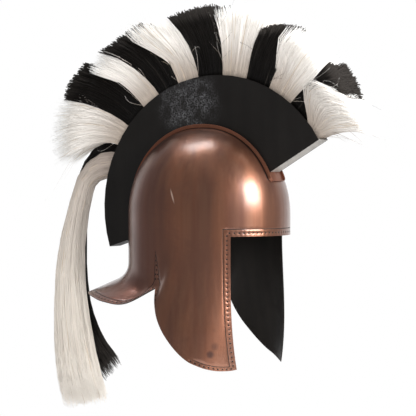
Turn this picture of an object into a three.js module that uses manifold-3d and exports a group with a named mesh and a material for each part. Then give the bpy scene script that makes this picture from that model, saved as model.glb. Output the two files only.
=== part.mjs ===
// A Greek helmet of sheet metal with a standing crest of black and white hair.
// Millimetres, +Z up. The helmet faces -Y and the wearer's right side is -X.
// The origin is where the crown of a head meets the inside of the dome.
import * as THREE from "three";
import { mergeVertices } from "three/addons/utils/BufferGeometryUtils.js";
import Module from "manifold-3d";

const wasm = await Module();
wasm.setup();

// Dome and wall, outside sizes
const wall = 1.2;
const domeHalfWidth = 89.5;
const domeHalfLength = 110.5;
const domeHeight = 118; // widest level to the top
const planFullness = 2.2; // 2 is an ellipse, more is boxier
const profileFullness = 2.1;
const browDepth = 25.5; // brow edge below the widest level

// Face opening and cheek plates
const openingHalfWidth = 71;
const cheekDepth = 172; // lowest edge below the brow edge
const cheekLength = 100; // front edge back to the ear notch
const cheekSpread = 20.5; // how far the lower rear edge stands out beyond the dome
const chinSwell = 19; // how much the front of a cheek plate bulges above its inturned tip
const swellFade = 2.2; // how fast the swell dies away towards the rear
const notchBlend = 0.7; // share of a cheek plate from which it draws in to the neck
const notchDepth = 68.5; // ear notch below the brow edge

// Neck guard
const neckReach = 55; // flare beyond the wall
const neckDrop = 78.5; // rear edge below the brow edge
const neckSlope = 24; // degrees below level
const neckBend = 17; // length of the bend along the wall
const bendLimit = 0.8; // longest bend over the flare
const dropFade = 3; // the rear depth is reached at a third of the way round
const earCurl = 4; // flare that is left at the ear notch

// Crest box
const crestWidth = 26.7;
const crestSheet = 1;
const capSheet = 1.5; // strips that close the ends of the box
const crestRise = 65.5; // rim of the box beyond the dome's half length, about its centre
const crestCentreY = -18.5;
const crestCentreDepth = 108.2; // centre of the arch below the top of the dome
const crestFrontAngle = 149.5; // degrees, from the rear over the top
const crestRearAngle = -18;
const blockShare = 0.52; // depth of the tufts' root blocks, as a share of the box's
const blockRecess = 1.5; // top of the blocks below the rim

// Channel that carries the crest box
const channelWidth = 39;
const channelLip = 3; // lip above the crown line of the dome
const channelSheet = 1.2;
const channelClearance = 0.5; // under its floor, over the curve of the dome
const channelOverrun = 8; // degrees that it runs past the box at the front
const channelOverrunRear = 5;

// Hair
const plumeReach = 94; // longest fan beyond the rim of the box
const fanSpread = 22; // half thickness of a fan at its tip
const fanInset = 0.06; // space between neighbouring fans, as a share of their width
const tailLength = 322; // white tail from its root down
const tailReach = 72; // tails beyond the rim of the box, to the rear
const tailWidth = 66;
const tailDepth = 26; // thickness of a tail, side to side
const lockFill = 0.96; // width of a lock over that of its lane
const lockStep = 0.03; // how much shorter every second lock is
const lockRings = { tuft: 4, tail: 10 };
const edgeLeaves = 0.2; // share of a fan that leaves the rim straight
const edgeBends = 0.6;
const hairInset = 2.5; // from the inside of the box to the hair at its root
const gap = 0.3;

const crownZ = wall;
const equatorZ = crownZ - domeHeight;
const browZ = equatorZ - browDepth;
const crestCentreZ = crownZ - crestCentreDepth;
const crestRadius = domeHalfLength + crestRise;
const cheekHalfWidth = domeHalfWidth + cheekSpread;
const rad = THREE.MathUtils.degToRad;
const { clamp, lerp } = THREE.MathUtils;
const ease = (t) => t * t * (3 - 2 * t);
const stepsOf = (from, to, count) => Array.from({ length: count + 1 }, (_, i) => lerp(from, to, i / count));

const copper = new THREE.MeshStandardMaterial({ color: 0x8a5a40, roughness: 0.34, metalness: 1 });
const blackSheet = new THREE.MeshStandardMaterial({ color: 0x1f1d1c, roughness: 0.45, metalness: 0.6 });
const whiteHair = new THREE.MeshStandardMaterial({ color: 0xe9e4db, roughness: 0.7, metalness: 0 });
const blackHair = new THREE.MeshStandardMaterial({ color: 0x1a1817, roughness: 0.6, metalness: 0 });

const helmet = new THREE.Group();

function addPiece(name, geometry, material) {
  const piece = new THREE.Mesh(geometry, material);
  piece.name = name;
  helmet.add(piece);
}

function fromFaces(points, faces) {
  const geometry = new THREE.BufferGeometry();
  const flat = points.flatMap((p) => [p.x, p.y, p.z]);
  geometry.setAttribute("position", new THREE.Float32BufferAttribute(flat, 3));
  geometry.setIndex(faces.flat());
  geometry.computeVertexNormals();
  return geometry;
}

// A closed mesh becomes a solid that can be joined to others.
function toSolid(geometry) {
  const bare = geometry.clone();
  bare.deleteAttribute("normal");
  bare.deleteAttribute("uv");
  const merged = mergeVertices(bare, 1e-3);
  const vertProperties = merged.attributes.position.array;
  const triVerts = new Uint32Array(merged.index.array);
  return new wasm.Manifold(new wasm.Mesh({ numProp: 3, vertProperties, triVerts }));
}

function joined(geometries) {
  const solid = geometries.map(toSolid).reduce((whole, next) => whole.add(next));
  const made = solid.getMesh();
  const geometry = new THREE.BufferGeometry();
  geometry.setAttribute("position", new THREE.BufferAttribute(made.vertProperties, 3));
  geometry.setIndex(new THREE.BufferAttribute(made.triVerts, 1));
  geometry.computeVertexNormals();
  return geometry;
}

// Rings of points joined into a closed body with flat ends. Each ring runs the same way round.
function skinRings(rings) {
  const count = rings[0].length;
  const faces = [];
  for (let i = 0; i < rings.length - 1; i++) {
    for (let j = 0; j < count; j++) {
      const [a, b] = [i * count + j, i * count + ((j + 1) % count)];
      faces.push([a, b, a + count], [b, b + count, a + count]);
    }
  }
  const ends = (ring, face) => (ring === 0 ? [...face].reverse() : face);
  for (const ring of [0, rings.length - 1]) {
    const flat = rings[ring].map((p) => p.flat);
    for (const face of THREE.ShapeUtils.triangulateShape(flat, [])) {
      faces.push(ends(ring, face).map((k) => ring * count + k));
    }
  }
  return fromFaces(rings.flat().map((p) => p.point), faces);
}

// A smooth value through the rows of a table, at a share of the way along it.
function alongTable(table, column, share) {
  const at = clamp(share, 0, 1) * (table.length - 1);
  const row = Math.min(Math.floor(at), table.length - 2);
  const value = (i) => table[clamp(i, 0, table.length - 1)][column];
  const [a, b, c, d] = [row - 1, row, row + 1, row + 2].map(value);
  const t = at - row;
  return 0.5 * (2 * b + (c - a) * t + (2 * a - 5 * b + 4 * c - d) * t * t + (3 * b - a - 3 * c + d) * t ** 3);
}

// Plan of the wall: 0 degrees is the front and 90 the wearer's right.
function planPoint(angle, scale, z) {
  const across = Math.abs(Math.sin(angle)) / domeHalfWidth;
  const along = Math.abs(Math.cos(angle)) / domeHalfLength;
  const r = scale * (across ** planFullness + along ** planFullness) ** (-1 / planFullness);
  return new THREE.Vector3(-r * Math.sin(angle), -r * Math.cos(angle), z);
}

const otherHalf = (part, half, full) => full * (1 - (part / half) ** planFullness) ** (1 / planFullness);
const openingY = -otherHalf(openingHalfWidth, domeHalfWidth, domeHalfLength);
const openingAngle = Math.atan2(openingHalfWidth, -openingY);
const notchY = openingY + cheekLength;
const notchX = otherHalf(notchY, domeHalfLength, domeHalfWidth);
const notchAngle = Math.PI / 2 + Math.atan2(notchY, notchX);

// Lower outline of a cheek plate, from its front tip to the ear notch. Back, drop and width are
// shares of the cheek plates' length, depth and half width.
const cheekOutline = [
  { back: -0.04, drop: 1.0, width: 0.555 },
  { back: 0.015, drop: 1.006, width: 0.655 },
  { back: 0.11, drop: 1.003, width: 0.78 },
  { back: 0.21, drop: 0.987, width: 0.88 },
  { back: 0.31, drop: 0.962, width: 0.945 },
  { back: 0.43, drop: 0.928, width: 0.985 },
  { back: 0.57, drop: 0.866, width: 1.0 },
  { back: 0.71, drop: 0.785, width: 0.995 },
  { back: 0.83, drop: 0.7, width: 0.975 },
  { back: 0.92, drop: 0.605, width: 0.945 },
  { back: 0.975, drop: 0.5, width: 0.9 },
  { back: 1.0, drop: 0.398, width: 0.84 },
];

// Edge of the neck guard from the ear notch to the rear. Reach is a share of its flare, and drop a
// share of the rear edge's depth.
const neckOutline = [
  { reach: 0.0, drop: 0.873 },
  { reach: 0.56, drop: 1.12 },
  { reach: 0.84, drop: 1.1 },
  { reach: 0.956, drop: 1.03 },
  { reach: 0.99, drop: 1.0 },
  { reach: 1.0, drop: 1.0 },
  { reach: 1.0, drop: 1.0 },
];

// Down one column of the neck, as a bend in the wall and a straight flare below it.
// Share 0 is at the notch and 1 at the rear; v runs from the brow level to the edge.
function neckPoint(share, v) {
  const top = planPoint(lerp(notchAngle, Math.PI, share), 1, browZ);
  const outward = new THREE.Vector3(top.x, top.y, 0).normalize();
  const reach = lerp(earCurl, neckReach, alongTable(neckOutline, "reach", share));
  const atNotch = notchDepth / neckOutline[0].drop;
  const depth = lerp(atNotch, neckDrop, ease(Math.min(1, share * dropFade)));
  const edgeZ = browZ - depth * alongTable(neckOutline, "drop", share);
  const cornerZ = edgeZ + reach * Math.tan(rad(neckSlope));
  const bend = Math.min(neckBend, reach * bendLimit);
  const bendTop = cornerZ + bend;
  const slopeOut = bend * Math.cos(rad(neckSlope));
  const slopeZ = cornerZ - bend * Math.sin(rad(neckSlope));
  const [bendStart, bendEnd] = [0.36, 0.76];
  if (v <= bendStart) return top.setZ(lerp(browZ, bendTop, v / bendStart));
  if (v >= bendEnd) {
    const t = (v - bendEnd) / (1 - bendEnd);
    return top.addScaledVector(outward, lerp(slopeOut, reach, t)).setZ(lerp(slopeZ, edgeZ, t));
  }
  const t = (v - bendStart) / (bendEnd - bendStart);
  const z = bendTop * (1 - t) ** 2 + cornerZ * 2 * t * (1 - t) + slopeZ * t * t;
  return top.addScaledVector(outward, slopeOut * t * t).setZ(z);
}

// Down one column of a right cheek plate, smooth from the wall to the lower outline.
function plainCheekPoint(share, v) {
  const top = planPoint(lerp(openingAngle, notchAngle, share), 1, browZ);
  const low = new THREE.Vector3(
    -cheekHalfWidth * alongTable(cheekOutline, "width", share),
    openingY + cheekLength * alongTable(cheekOutline, "back", share),
    browZ - cheekDepth * alongTable(cheekOutline, "drop", share),
  );
  const third = (top.z - low.z) / 3;
  const below = top.clone().setZ(top.z - third);
  const above = low.clone().setZ(low.z + third);
  above.x -= chinSwell * (1 - ease(Math.min(1, share * swellFade)));
  return new THREE.CubicBezierCurve3(top, below, above, low).getPoint(v);
}

// Share 0 is the front edge. Towards share 1 the plate draws in to the column that it shares with the neck.
function cheekPoint(share, v) {
  const drawn = ease(clamp((share - notchBlend) / (1 - notchBlend), 0, 1));
  const offset = neckPoint(0, v).sub(plainCheekPoint(1, v));
  return plainCheekPoint(share, v).addScaledVector(offset, drawn);
}

function domePoint(angle, rise) {
  const scale = Math.cos(rise) ** (2 / profileFullness);
  return planPoint(angle, scale, equatorZ + domeHeight * Math.sin(rise) ** (2 / profileFullness));
}

// A sheet of points and faces becomes a closed wall, with its thickness on the inner side.
function thicken(points, faces, thickness) {
  const sheet = fromFaces(points, faces);
  const normals = sheet.getAttribute("normal");
  const inner = points.map((p, i) => {
    return p.clone().addScaledVector(new THREE.Vector3().fromBufferAttribute(normals, i), -thickness);
  });
  const count = points.length;
  const edges = new Map();
  for (const [a, b, c] of faces) {
    for (const [from, to] of [[a, b], [b, c], [c, a]]) {
      if (!edges.delete(to + "_" + from)) edges.set(from + "_" + to, [from, to]);
    }
  }
  const rim = [...edges.values()].flatMap(([a, b]) => [[b, a, a + count], [b, a + count, b + count]]);
  const back = faces.map(([a, b, c]) => [a + count, c + count, b + count]);
  return fromFaces([...points, ...inner], [...faces, ...back, ...rim]);
}

function makeShell() {
  const [browColumns, cheekColumns, neckColumns] = [8, 13, 10];
  const browAngles = stepsOf(0, openingAngle, browColumns / 2).slice(0, -1);
  const cheekShares = stepsOf(0, 1, cheekColumns).slice(0, -1);
  const neckShares = stepsOf(0, 1, neckColumns);
  const cheekColumn = (share) => ({ angle: lerp(openingAngle, notchAngle, share), share, skirt: cheekPoint });
  const neckColumn = (share) => ({ angle: lerp(notchAngle, Math.PI, share), share, skirt: neckPoint });
  const brows = browAngles.map((angle) => ({ angle }));
  const half = [...brows, ...cheekShares.map(cheekColumn), ...neckShares.map(neckColumn)];
  const left = half.slice(1, -1).reverse().map((column) => ({ ...column, mirrored: true }));
  const columns = [...half, ...left];
  const rises = stepsOf(Math.PI / 2, 0, 10).slice(1);
  const drops = [0.12, 0.24, 0.36, 0.46, 0.56, 0.66, 0.76, 0.88, 1];
  const points = [new THREE.Vector3(0, 0, crownZ)];
  const rows = [...rises.map((rise) => (c) => domePoint(c.angle, rise)), (c) => planPoint(c.angle, 1, browZ)];
  const skirtRows = drops.map((v) => (c) => c.skirt(c.share, v));
  const index = columns.map(() => []);
  columns.forEach((column, i) => {
    for (const row of column.skirt ? [...rows, ...skirtRows] : rows) {
      const p = row(column);
      if (column.mirrored) p.x = -p.x;
      index[i].push(points.push(p) - 1);
    }
  });
  const faces = [];
  columns.forEach((_, i) => {
    const [here, next] = [index[i], index[(i + 1) % columns.length]];
    faces.push([0, next[0], here[0]]);
    for (let j = 0; j < Math.min(here.length, next.length) - 1; j++) {
      faces.push([here[j], next[j], next[j + 1]], [here[j], next[j + 1], here[j + 1]]);
    }
  });
  addPiece("helmet_shell", thicken(points, faces, wall), copper);
}

// Distance from the crest's centre to the dome, in the upright plane at a distance x from the middle.
function domeReach(x, degrees) {
  const outside = (r) => {
    const y = crestCentreY + r * Math.cos(rad(degrees));
    const z = crestCentreZ + r * Math.sin(rad(degrees));
    const across = Math.abs(x) / domeHalfWidth;
    const along = Math.abs(y) / domeHalfLength;
    const plan = across ** planFullness + along ** planFullness;
    const rise = Math.max(0, z - equatorZ) / domeHeight;
    return plan ** (profileFullness / planFullness) + rise ** profileFullness > 1;
  };
  const halvings = 40;
  let [near, far] = [0, 2 * domeHalfLength];
  for (let i = 0; i < halvings; i++) {
    const middle = (near + far) / 2;
    if (outside(middle)) far = middle;
    else near = middle;
  }
  return near;
}

function crestPoint(x, degrees, radius) {
  const y = crestCentreY + radius * Math.cos(rad(degrees));
  return new THREE.Vector3(x, y, crestCentreZ + radius * Math.sin(rad(degrees)));
}

const crestAngles = stepsOf(crestRearAngle, crestFrontAngle, 26);

// The channel's section is a floor on the dome with a low wall at each side. Its front end is closed.
function makeChannel() {
  const half = channelWidth / 2;
  const floorAcross = stepsOf(-1, 1, 4);
  const underLip = 0.01; // top of the filled end below the lip
  const fillStart = 0.95; // share of the end wall in which the filling rises
  const section = (degrees, filled) => {
    const lip = domeReach(0, degrees) + channelLip;
    const inside = half - channelSheet;
    const under = floorAcross.map((s) => [s * half, domeReach(s * half, degrees) + channelClearance]);
    const over = floorAcross.map((s) => {
      const floor = domeReach(s * inside, degrees) + channelClearance + channelSheet;
      return [-s * inside, filled ? lip - underLip : floor];
    });
    const outline = [...under, [half, lip], [inside, lip], ...over, [-inside, lip], [-half, lip]];
    return outline.map(([x, r]) => ({ point: crestPoint(x, degrees, r), flat: new THREE.Vector2(x, r) }));
  };
  const front = crestFrontAngle + channelOverrun;
  const endWall = THREE.MathUtils.radToDeg(channelSheet / domeReach(0, front));
  const rings = [
    section(crestRearAngle - channelOverrunRear, false),
    ...crestAngles.map((degrees) => section(degrees, false)),
    section(front - endWall, false),
    section(front - endWall * fillStart, true),
    section(front, true),
  ];
  addPiece("crest_channel", skinRings(rings), copper);
}

// A flat plate with an outline in the helmet's middle plane, from one x to another.
function uprightPlate(outline, fromX, toX) {
  const shape = new THREE.Shape(outline.map((p) => new THREE.Vector2(p.y, p.z)));
  const geometry = new THREE.ExtrudeGeometry(shape, { depth: toX - fromX, bevelEnabled: false });
  const place = new THREE.Matrix4().makeBasis(
    new THREE.Vector3(0, 1, 0),
    new THREE.Vector3(0, 0, 1),
    new THREE.Vector3(1, 0, 0),
  );
  geometry.applyMatrix4(place.setPosition(fromX, 0, 0));
  return geometry;
}

const boxInside = crestWidth / 2 - crestSheet;
const seat = (degrees) => domeReach(boxInside, degrees) + channelClearance + channelSheet + gap;
const capSeat = (degrees) => domeReach(0, degrees) + channelClearance + channelSheet + gap;

function makeCrestPlates() {
  const rim = crestAngles.map((degrees) => crestPoint(0, degrees, crestRadius));
  const foot = crestAngles.map((degrees) => crestPoint(0, degrees, seat(degrees))).reverse();
  const outline = [...rim, ...foot];
  addPiece("crest_plate_right", uprightPlate(outline, -crestWidth / 2, -boxInside), blackSheet);
  addPiece("crest_plate_left", uprightPlate(outline, boxInside, crestWidth / 2), blackSheet);
}

// The box is closed by a strip at the front, and at the rear by one that also covers the bare end of the rim.
function makeCrestCaps(hairEndAngle) {
  const [from, to] = [-boxInside + gap, boxInside - gap];
  const across = THREE.MathUtils.radToDeg(capSheet / crestRadius);
  const strip = (outer, inner) => [
    crestPoint(0, outer, crestRadius),
    crestPoint(0, inner, crestRadius),
    crestPoint(0, inner, capSeat(inner)),
    crestPoint(0, outer, capSeat(outer)),
  ];
  const frontStrip = strip(crestFrontAngle, crestFrontAngle - across);
  addPiece("crest_cap_front", uprightPlate(frontStrip, from, to), blackSheet);
  const bare = stepsOf(crestRearAngle, hairEndAngle, 6);
  const turned = crestRearAngle + across;
  const outline = [
    ...bare.map((degrees) => crestPoint(0, degrees, crestRadius)),
    ...stepsOf(hairEndAngle, turned, 6).map((degrees) => crestPoint(0, degrees, crestRadius - crestSheet)),
    crestPoint(0, turned, capSeat(turned)),
    crestPoint(0, crestRearAngle, capSeat(crestRearAngle)),
  ];
  addPiece("crest_cap_rear", uprightPlate(outline, from, to), blackSheet);
}

// The edges between the fans, from front to rear, in degrees about the crest's centre: where an edge
// leaves the rim, where it bends and where it ends. Reach is a share of the plume's.
const fanEdges = [
  { root: 148.4, bend: 151.0, tip: 156.0, reach: 0.69 },
  { root: 142.2, bend: 133.4, tip: 145.5, reach: 0.76 },
  { root: 128.5, bend: 131.6, tip: 132.6, reach: 0.85 },
  { root: 116.6, bend: 116.6, tip: 120.2, reach: 0.97 },
  { root: 104.6, bend: 106.0, tip: 108.7, reach: 1.0 },
  { root: 92.7, bend: 93.5, tip: 90.8, reach: 0.97 },
  { root: 80.7, bend: 81.4, tip: 75.0, reach: 0.92 },
  { root: 70.2, bend: 70.1, tip: 64.3, reach: 1.11 },
  { root: 59.3, bend: 57.6, tip: 49.6, reach: 1.07 },
  { root: 49.6, bend: 50.0, tip: 43.7, reach: 1.15 },
  { root: 38.5, bend: 37.4, tip: 31.8, reach: 1.1 },
  { root: 28.8, bend: 24.0, tip: 13.0, reach: 0.85 },
];

// How far each fan goes along its front and rear edge, and how much farther its middle goes.
const fans = [
  { name: "tuft_01_white", front: 1, rear: 1, crown: 0 },
  { name: "tuft_02_black", front: 0.96, rear: 1, crown: 0.03 },
  { name: "tuft_03_white", front: 0.93, rear: 1, crown: 0.04 },
  { name: "tuft_04_black", front: 0.95, rear: 0.75, crown: 0.12 },
  { name: "tuft_05_white", front: 1, rear: 0.97, crown: 0.04 },
  { name: "tuft_06_black", front: 1, rear: 1, crown: 0.03 },
  { name: "tuft_07_white", front: 1, rear: 1, crown: 0 },
  { name: "tuft_08_black", front: 0.96, rear: 1, crown: 0 },
  { name: "tuft_09_white", front: 1, rear: 0.93, crown: 0 },
  { name: "tuft_10_black", front: 1, rear: 1, crown: 0.03 },
  { name: "tuft_11_white", front: 1.04, rear: 1, crown: 0.06 },
];

// A lock of hair: a five-sided bar along a path. Across is its half width in the middle plane, as a
// vector, and halfSide its half thickness from side to side.
function makeLock(path, across, halfSide, steps) {
  const rings = stepsOf(0, 1, steps).map((v) => {
    const [centre, half] = [path(v), across(v)];
    return [0, 1, 2, 3, 4].map((k) => {
      const turn = (k / 5) * 2 * Math.PI;
      const point = centre.clone().addScaledVector(half, Math.cos(turn));
      point.x -= Math.sin(turn) * halfSide(v);
      return { point, flat: new THREE.Vector2(Math.cos(turn), Math.sin(turn)) };
    });
  });
  return skinRings(rings);
}

function rootBlock(frontAngle, rearAngle) {
  const foot = (degrees) => lerp(crestRadius, seat(degrees), blockShare);
  const margin = THREE.MathUtils.radToDeg(gap / 2 / foot(frontAngle));
  const angles = stepsOf(rearAngle + margin, frontAngle - margin, 2);
  const outline = [
    ...angles.map((degrees) => crestPoint(0, degrees, crestRadius - blockRecess)),
    ...angles.map((degrees) => crestPoint(0, degrees, foot(degrees))).reverse(),
  ];
  return uprightPlate(outline, -boxInside + gap, boxInside - gap);
}

// A point on the edge of a fan: v runs from the root, which stands a little inside the block, to the tip.
function edgePoint(edge, v) {
  const out = edge.reach * plumeReach;
  const at = (degrees, beyond) => crestPoint(0, degrees, crestRadius + beyond);
  const leaving = [at(edge.root, -3 * blockRecess), at(edge.root, out * edgeLeaves)];
  const arriving = [at(edge.bend, out * edgeBends), at(edge.tip, out)];
  return new THREE.CubicBezierCurve3(...leaving, ...arriving).getPoint(v);
}

function makeFan(fan, frontEdge, rearEdge) {
  const lanes = 3;
  const middleLane = 1;
  const sideLanes = [-0.5, 0.5];
  const locks = [rootBlock(frontEdge.root, rearEdge.root)];
  const edges = (v) => [edgePoint(frontEdge, v * fan.front), edgePoint(rearEdge, v * fan.rear)];
  const spread = (v) => lerp(boxInside - hairInset, fanSpread, ease(clamp(v, 0, 1)));
  for (let lane = 0; lane < lanes; lane++) {
    const share = fanInset + ((1 - 2 * fanInset) * (lane + 0.5)) / lanes;
    for (const side of sideLanes) {
      const short = 1 - lockStep * ((lane + (side > 0 ? 1 : 0)) % 2);
      const length = short + (lane === middleLane ? fan.crown : 0);
      const path = (v) => {
        const [front, rear] = edges(v * length);
        const p = front.lerp(rear, share);
        p.x = side * spread(v);
        return p;
      };
      const across = (v) => {
        const [front, rear] = edges(v * length);
        return rear.sub(front).multiplyScalar(((1 - 2 * fanInset) * lockFill) / lanes / 2);
      };
      locks.push(makeLock(path, across, (v) => (spread(v) * lockFill) / 2, lockRings.tuft));
    }
  }
  addPiece(fan.name, joined(locks), fan.name.endsWith("black") ? blackHair : whiteHair);
}

// The tails. Back and drop are shares of the tails' reach and length from the root of the white one,
// side is a share of a tail's thickness towards the wearer's left, and width and depth are shares of its own.
const whiteTail = [
  { back: -0.092, drop: 0.004, side: 0, width: 0.46, depth: 0.7 },
  { back: 0.218, drop: 0.008, side: -0.2, width: 0.48, depth: 0.8 },
  { back: 0.503, drop: 0.047, side: -0.32, width: 0.44, depth: 0.9 },
  { back: 0.661, drop: 0.118, side: -0.35, width: 0.4, depth: 0.95 },
  { back: 0.849, drop: 0.29, side: -0.35, width: 0.57, depth: 1.0 },
  { back: 0.94, drop: 0.443, side: -0.35, width: 0.71, depth: 1.0 },
  { back: 0.915, drop: 0.621, side: -0.35, width: 0.87, depth: 1.0 },
  { back: 0.851, drop: 0.779, side: -0.35, width: 1.0, depth: 1.0 },
  { back: 0.735, drop: 0.926, side: -0.35, width: 1.08, depth: 0.95 },
  { back: 0.56, drop: 1.022, side: -0.35, width: 1.08, depth: 0.8 },
];
const blackTail = [
  { back: -0.218, drop: -0.06, side: 0, width: 0.14, depth: 0.62 },
  { back: 0.26, drop: -0.079, side: 0.2, width: 0.15, depth: 0.6 },
  { back: 0.687, drop: -0.028, side: 0.62, width: 0.18, depth: 0.6 },
  { back: 0.965, drop: 0.094, side: 0.84, width: 0.24, depth: 0.7 },
  { back: 1.02, drop: 0.253, side: 0.84, width: 0.31, depth: 0.8 },
  { back: 1.06, drop: 0.416, side: 0.84, width: 0.37, depth: 0.85 },
  { back: 1.035, drop: 0.56, side: 0.84, width: 0.4, depth: 0.85 },
  { back: 0.88, drop: 0.704, side: 0.84, width: 0.5, depth: 0.85 },
  { back: 0.601, drop: 0.812, side: 0.84, width: 0.6, depth: 0.9 },
  { back: 0.256, drop: 0.89, side: 0.84, width: 0.61, depth: 0.95 },
];

const tailAngles = { black: 28.8, white: 24.9, end: 12.9 };
const tailRoot = crestPoint(0, (tailAngles.white + tailAngles.end) / 2, crestRadius);

function makeTail(name, table, frontAngle, rearAngle, material) {
  const lanes = [-0.5, 0.5];
  const value = (column, v) => alongTable(table, column, v);
  const centre = (v) => {
    const x = value("side", v) * tailDepth;
    const y = tailRoot.y + value("back", v) * tailReach;
    return new THREE.Vector3(x, y, tailRoot.z - value("drop", v) * tailLength);
  };
  const across = (v) => {
    const h = 0.01;
    const at = clamp(v, h, 1 - h);
    const ahead = centre(at + h).sub(centre(at - h));
    return new THREE.Vector3(0, ahead.z, -ahead.y).setLength((value("width", v) * tailWidth) / 4);
  };
  const locks = [rootBlock(frontAngle, rearAngle)];
  for (const lane of lanes) {
    for (const side of lanes) {
      const path = (v) => {
        const p = centre(v).addScaledVector(across(v), lane * 2);
        p.x += (side * value("depth", v) * tailDepth) / 2;
        return p;
      };
      const half = (v) => across(v).multiplyScalar(lockFill);
      const halfSide = (v) => (value("depth", v) * tailDepth * lockFill) / 4;
      locks.push(makeLock(path, half, halfSide, lockRings.tail));
    }
  }
  addPiece(name, joined(locks), material);
}

makeShell();
makeChannel();
makeCrestPlates();
makeCrestCaps(tailAngles.end);
fans.forEach((fan, i) => makeFan(fan, fanEdges[i], fanEdges[i + 1]));
makeTail("tail_black", blackTail, tailAngles.black, tailAngles.white, blackHair);
makeTail("tail_white", whiteTail, tailAngles.white, tailAngles.end, whiteHair);

export default helmet;
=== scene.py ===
# A Greek helmet of copper sheet with a standing crest of black and white hair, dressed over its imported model.
# Blender works in metres. Lengths in the settings below are millimetres unless a note says otherwise.
# +Z is up, the helmet faces -Y and the wearer's right side is -X.
import math
import bpy
import numpy as np
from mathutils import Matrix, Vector
from mathutils.geometry import delaunay_2d_cdt


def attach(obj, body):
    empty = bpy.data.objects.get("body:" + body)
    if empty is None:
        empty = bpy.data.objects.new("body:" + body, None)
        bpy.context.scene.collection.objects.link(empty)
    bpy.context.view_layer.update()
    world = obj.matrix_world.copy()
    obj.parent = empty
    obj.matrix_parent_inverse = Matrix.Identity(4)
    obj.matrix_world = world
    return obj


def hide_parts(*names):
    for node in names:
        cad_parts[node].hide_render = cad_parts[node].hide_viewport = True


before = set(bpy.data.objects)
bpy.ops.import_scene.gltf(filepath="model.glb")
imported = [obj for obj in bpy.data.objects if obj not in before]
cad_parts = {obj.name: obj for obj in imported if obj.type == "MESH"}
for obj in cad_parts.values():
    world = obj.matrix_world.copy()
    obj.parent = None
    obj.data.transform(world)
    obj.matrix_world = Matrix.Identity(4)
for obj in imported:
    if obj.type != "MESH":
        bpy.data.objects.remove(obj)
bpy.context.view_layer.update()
mm = 0.001
print("frame loaded with", len(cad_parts), "nodes")


# Curves and meshes

def lerp(a, b, t):
    return a + (b - a) * t


def ease(t):
    t = np.clip(t, 0, 1)
    return t * t * (3 - 2 * t)


def alongRows(rows, share):  # smooth values through the evenly spaced rows of a table
    table = np.array(rows, float)
    last = len(table) - 1
    at = np.clip(share, 0, 1) * last
    row = np.minimum(np.floor(at).astype(int), last - 1)
    a, b, c, d = [table[np.clip(row + k, 0, last)] for k in (-1, 0, 1, 2)]
    t = (at - row)[..., None]
    return 0.5 * (2 * b + (c - a) * t + (2 * a - 5 * b + 4 * c - d) * t**2 + (3 * b - a - 3 * c + d) * t**3)


def bezier(a, b, c, d, t):
    return a * (1 - t) ** 3 + b * 3 * t * (1 - t) ** 2 + c * 3 * t * t * (1 - t) + d * t**3


def unit(v):
    return v / np.maximum(np.linalg.norm(v, axis=-1, keepdims=True), 1e-9)


def respaced(points, spacing):  # an open line of points, spaced evenly, both ends kept
    steps = np.linalg.norm(np.diff(points, axis=0), axis=1)
    run = np.concatenate([[0], np.cumsum(steps)])
    count = max(1, round(run[-1] / spacing))
    at = np.linspace(0, run[-1], count + 1)
    return np.stack([np.interp(at, run, points[:, k]) for k in range(points.shape[1])], -1)


def addMesh(name, points, faces, materials, faceMaterials=None, flatAngle=40, **values):
    mesh = bpy.data.meshes.new(name)
    mesh.from_pydata(np.asarray(points) * mm, [], faces)
    mesh.validate()
    for key, column in values.items():
        layer = mesh.attributes.new(key, "FLOAT", "POINT")
        layer.data.foreach_set("value", np.asarray(column, np.float32))
    for material in materials:
        mesh.materials.append(material)
    if faceMaterials is not None:
        mesh.polygons.foreach_set("material_index", np.asarray(faceMaterials, np.int32))
    mesh.shade_smooth()
    if flatAngle:
        mesh.set_sharp_from_angle(angle=math.radians(flatAngle))
    piece = bpy.data.objects.new(name, mesh)
    bpy.context.scene.collection.objects.link(piece)
    return piece


def dress(piece, node):
    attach(piece, "root")
    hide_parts(node)
    return piece


def ringFaces(ringCount, size, closed=True):  # quads between rings of points, with flat ends
    here = np.arange(ringCount - 1)[:, None] * size + np.arange(size)[None]
    beside = np.arange(ringCount - 1)[:, None] * size + (np.arange(size)[None] + 1) % size
    quads = np.stack([here, beside, beside + size, here + size], -1).reshape(-1, 4).tolist()
    if closed:
        quads.append(list(range(size))[::-1])
        quads.append([(ringCount - 1) * size + k for k in range(size)])
    return quads


# Nodes

def addNode(tree, kind, values=None, **settings):
    node = tree.nodes.new(kind)
    for key, value in settings.items():
        setattr(node, key, value)
    for key, value in (values or {}).items():
        socket = node.inputs[key]
        if hasattr(value, "is_output"):
            tree.links.new(value, socket)
        else:
            socket.default_value = value
    return node


def math2(tree, operation, a, b=0.0, c=0.0):
    return addNode(tree, "ShaderNodeMath", {0: a, 1: b, 2: c}, operation=operation).outputs[0]


def vectorMath(tree, operation, a, b=(0, 0, 0)):
    node = addNode(tree, "ShaderNodeVectorMath", {0: a, 1: b}, operation=operation)
    return node.outputs["Value" if operation in ("DISTANCE", "DOT_PRODUCT", "LENGTH") else "Vector"]


def smoothRange(tree, value, low, high, toLow=0.0, toHigh=1.0):
    sockets = {"Value": value, "From Min": low, "From Max": high, "To Min": toLow, "To Max": toHigh}
    node = addNode(tree, "ShaderNodeMapRange", sockets, interpolation_type="SMOOTHSTEP")
    return node.outputs["Result"]


def mixColour(tree, factor, a, b, blend="MIX"):  # sockets 0, 6 and 7 are the factor and the two colours
    node = addNode(tree, "ShaderNodeMix", {0: factor, 6: a, 7: b}, data_type="RGBA", blend_type=blend)
    return node.outputs[2]


def noise(tree, place, scale, detail=2.0, roughness=0.5, distortion=0.0):
    sockets = {"Vector": place, "Scale": scale, "Detail": detail, "Roughness": roughness}
    return addNode(tree, "ShaderNodeTexNoise", {**sockets, "Distortion": distortion}).outputs["Fac"]


def attribute(tree, name):
    return addNode(tree, "ShaderNodeAttribute", attribute_name=name).outputs["Fac"]


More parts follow.
